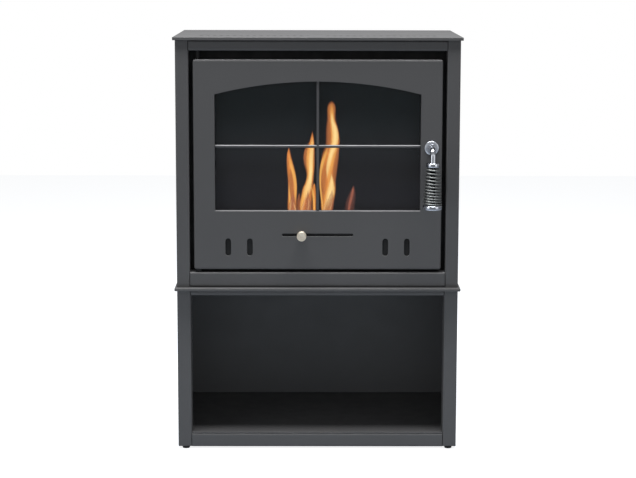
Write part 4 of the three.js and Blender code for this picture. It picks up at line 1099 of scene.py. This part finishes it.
# Each layer: colour, how solid it is, its place behind the mouth's middle in millimetres, how
# softly it fades towards its rim, the share of its length that fades at each end, and its strands.
# A strand is a line of (height above the wool, middle, half width), in millimetres.
FLAME_LAYERS = {
    "veil": ("a85f34", 0.72, 5, 1.4, 0.12, [
        [(2, -53, 7), (49, -55.8, 11), (95, -55, 10.6), (132, -58, 9.8), (160, -62.4, 6.4),
         (188, -63.1, 0.4)],
        [(2, -25, 9), (49, -26.5, 14.4), (77, -23.5, 13.8), (100, -19, 11), (123, -15.7, 8.8),
         (151, -17.4, 12.4), (179, -17.1, 12), (200, -12.2, 5.2), (222, -11.1, 0.4)],
        [(2, 20, 9), (49, 20.8, 14), (77, 23.6, 16.6), (114, 22.9, 18.8), (151, 26, 19.6),
         (170, 28.9, 19.4), (195, 33.8, 16.4), (226, 32.2, 14.2), (244, 31, 11), (258, 30.6, 10),
         (272, 30.6, 10), (282, 30.8, 6.8), (287, 30.8, 0.6)],
        [(2, -40, 4), (49, -40.8, 5.2), (66, -41, 4.4), (84, -40, 0.4)],
    ]),
    "body": ("e38b3e", 0.97, 0, 1.3, 0.14, [
        [(2, -53, 5.4), (49, -55.8, 10), (77, -55, 9.6), (95, -54.8, 9.8), (114, -55.7, 9.6),
         (132, -58.2, 9), (151, -61.2, 6.8), (170, -63.3, 3.8), (184, -63.1, 0.3)],
        [(2, -25, 7.4), (49, -26.7, 13.4), (77, -23.5, 12.8), (95, -21.4, 11.4),
         (105, -18.6, 9.2), (114, -16.8, 8.2), (123, -15.7, 7.9), (138, -15.8, 9.6),
         (151, -17.4, 11.6), (164, -18.4, 12.4), (179, -17.1, 11), (192, -12.9, 6),
         (207, -11.7, 3.4), (219, -11.1, 0.3)],
        [(2, -7, 3), (49, -6.9, 4.1), (77, -6.8, 4.2), (95, -7.3, 3.6), (106, -6.8, 0.4)],
        [(2, 20, 6.4), (49, 20.8, 12.8), (77, 23.6, 15.6), (95, 23.6, 17.6), (114, 22.9, 17.8),
         (132, 24, 18), (151, 26, 18.8), (170, 28.9, 18.2), (179, 31.6, 16.2), (192, 34.7, 14.2),
         (207, 35.2, 13.6), (226, 33.7, 12), (244, 31.3, 8), (258, 30.8, 0.6)],
    ]),
    "crest": ("d18442", 0.8, -3, 2.0, 0.3, [
        [(222, 31, 4), (240, 30.6, 7), (256, 30.6, 9), (268, 30.6, 9.6), (278, 30.8, 7.6),
         (284, 30.8, 0.5)],
    ]),
    "shade": ("9a5a31", 0.72, -7, 1.8, 0.34, [
        [(56, -55, 3), (74, -56, 5.4), (92, -56.6, 6.4), (112, -57, 5.8), (130, -58.6, 3.4),
         (146, -60, 0.6)],
        [(132, -24, 0.6), (148, -26, 4), (164, -27, 5), (178, -25, 3.6), (190, -19, 0.6)],
        [(176, 22, 0.5), (192, 24.6, 6), (212, 24.8, 6.6), (232, 24.4, 5), (248, 25, 3),
         (262, 26.6, 0.5)],
        [(78, 14, 0.5), (92, 14.4, 6), (110, 15.2, 7.2), (128, 16.4, 6.2), (146, 19, 4),
         (166, 22.6, 0.5)],
        [(96, 36.6, 0.5), (118, 37.4, 4.6), (142, 39.4, 6), (164, 42.4, 5), (184, 45, 0.6)],
    ]),
    "glow": ("f7b75c", 0.85, -10, 1.8, 0.3, [
        [(64, -48.4, 0.6), (84, -48.2, 3), (104, -48.8, 4), (124, -51.6, 4.4), (146, -57.6, 4.4),
         (172, -63, 0.6)],
        [(2, -57, 1), (49, -59.4, 2), (64, -60.6, 2.6), (86, -62, 2.2), (110, -63, 0.5)],
        [(2, -34, 1.6), (49, -35.4, 3), (62, -33.6, 4.6), (80, -29, 6), (96, -23, 7.4),
         (110, -18.6, 7), (130, -15.8, 7), (152, -16.6, 9), (176, -15.8, 8.4), (196, -12.2, 5),
         (212, -11.2, 0.6)],
        [(2, -6, 1), (49, -6.8, 2), (66, -7.4, 2.6), (84, -9.4, 3), (100, -13.4, 0.6)],
        [(2, 10, 1), (50, 11.4, 2.2), (78, 8.8, 2.4), (102, 6.4, 2.4), (127, 6.8, 3),
         (150, 10.8, 4.4), (172, 18, 4), (190, 25, 0.5)],
        [(104, 24, 0.6), (128, 25.4, 6), (150, 28, 8.4), (172, 32.4, 9.4), (196, 37.4, 9),
         (220, 37.4, 8), (240, 34.2, 5.6), (256, 32, 5), (268, 31.2, 4.4), (279, 31, 0.6)],
        [(2, 18, 4), (49, 20.6, 8.6), (70, 25, 11.4), (88, 28.4, 12), (102, 30.2, 9.4),
         (116, 31, 5), (130, 30.8, 0.4)],
    ]),
    "heart": ("ffe19a", 0.92, -15, 1.6, 0.4, [
        [(70, -26, 2), (84, -24, 7), (96, -21, 8.4), (108, -18, 6.4), (120, -15.6, 5),
         (134, -14.6, 4.8), (154, -14.6, 5.4), (176, -13.2, 5), (194, -11.4, 3.2),
         (210, -11.2, 0.4)],
        [(118, 21, 0.5), (136, 22.6, 4), (154, 25.6, 5.4), (172, 30.4, 6), (190, 36.4, 7),
         (210, 39.4, 7.2), (230, 37.2, 6.4), (244, 33, 4), (256, 31.4, 2.6), (264, 31, 0.4)],
        [(52, 21, 3), (70, 25.4, 8), (84, 28.6, 9.4), (96, 30.2, 8), (108, 31, 5), (120, 31, 2.6),
         (130, 30.6, 0.3)],
    ]),
    "foot": ("9a5c42", 0.82, -21, 1.2, 0.34, [
        [(2, -53, 6), (40, -56, 9), (58, -55.6, 8), (74, -54, 5), (92, -54, 0.5)],
        [(2, -23, 6), (40, -20.6, 10), (58, -20.6, 8.6), (74, -21, 5), (92, -20.6, 0.5)],
        [(2, 24, 7), (40, 23, 10.4), (58, 26.6, 10), (76, 30.4, 6), (94, 33, 0.5)],
    ]),
    "fork": ("e3b07c", 0.6, -25, 2.0, 0.3, [
        [(2, -60, 1), (44, -61, 2), (58, -59, 2.4), (72, -57, 0.5)],
        [(2, -50, 1), (44, -48, 2), (56, -50, 2.2), (68, -53, 0.5)],
        [(2, -33, 1), (44, -34, 2.6), (60, -31, 2.6), (80, -25, 0.5)],
        [(2, -22, 1), (44, -21, 1.8), (60, -19, 2), (78, -19, 0.5)],
        [(2, 13, 1), (44, 14, 2.4), (60, 17, 2.6), (82, 23, 0.5)],
        [(2, 26, 1), (44, 27, 2), (58, 30, 2.2), (74, 33, 0.5)],
    ]),
    "ember": ("6e4034", 0.8, -4, 1.8, 0.3, [
        [(2, 69, 9), (49, 71.4, 11.6), (67, 73.6, 11), (82, 77, 8), (94, 79, 4),
         (102, 79.6, 0.4)],
    ]),
    "spark": ("bd6d50", 0.62, -8, 1.6, 0.25, [
        [(2, 68, 2), (49, 70, 3), (66, 73, 3.8), (82, 76.6, 3.6), (92, 78.4, 2), (99, 79, 0.4)],
    ]),
}


def through_points(points, share):
    """A smooth line through given values, at a share of its length."""
    span = len(points) - 1
    at = min(share * span, span - 1e-6)
    i = int(at)
    t = at - i
    before, start, end, after = (points[max(0, min(span, i + k))] for k in (-1, 0, 1, 2))
    made = []
    for a, b, c, d in zip(before, start, end, after):
        bend = (2 * a - 5 * b + 4 * c - d) * t**2 + (3 * b - a - 3 * c + d) * t**3
        made.append(0.5 * (2 * b + (c - a) * t + bend))
    return made


def strand(places, depth, solidity, softness, ends):
    """Corners, faces and alpha of one closed tongue that thins out at its rim and its ends."""
    made, alphas = [], []
    for i in range(FLAME_RINGS + 1):
        share = i / FLAME_RINGS
        height, centre, half = through_points(places, share)
        half = max(half, THINNEST)
        sway = SWAY * math.sin(height / SWAY_LENGTH + centre / 9)
        tip = min(1, (1 - share) / ends)
        root = min(1, share / ends + 0.1)
        length_fade = tip * (2 - tip) * root * (2 - root)
        ring = []
        for k in range(FLAME_SIDES):
            angle = FULL_TURN * k / FLAME_SIDES
            x = centre + half * math.cos(angle)
            y = depth + sway + FLAME_FLATNESS * half * math.sin(angle)
            ring.append((x * MM, y * MM, height * MM))
            both_faces = solidity * abs(math.sin(angle)) ** softness * length_fade
            alphas.append(1 - math.sqrt(1 - both_faces))
        made.append(ring)
    corners, faces = loft(made)
    return corners, faces, alphas


def flames():
    foot = Vector((0, MOUTH_Y, FLAME_BASE))
    for name, (code, solidity, depth, softness, ends, strands) in FLAME_LAYERS.items():
        shapes = [strand(places, depth, solidity, softness, ends) for places in strands]
        corners, faces = merged([shape[:2] for shape in shapes])
        corners = [c + foot for c in corners]
        light = flame_light(f"flame_{name}_light", code, FLAME_GLOW)
        made = piece_of(f"flame_{name}", corners, faces, "burner", "ceramic_wool", light)
        fade = made.data.attributes.new(FADE, "FLOAT", "POINT")
        fade.data.foreach_set("value", [f for shape in shapes for f in shape[2]])
        made.visible_diffuse = False
        made.visible_glossy = False
        made.visible_shadow = False
        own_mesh(made)


# ---------------------------------------------------------------- the whole

camera()
lamps()
surroundings()
floor()
dress_frame()
grip_coil()
handle_stem()
handle_collar()
handle_cap()
rosette()
slider_knob()
woven_seal()
felted_wool()
rear_screws()
clip_screws()
levelling_feet()
flames()
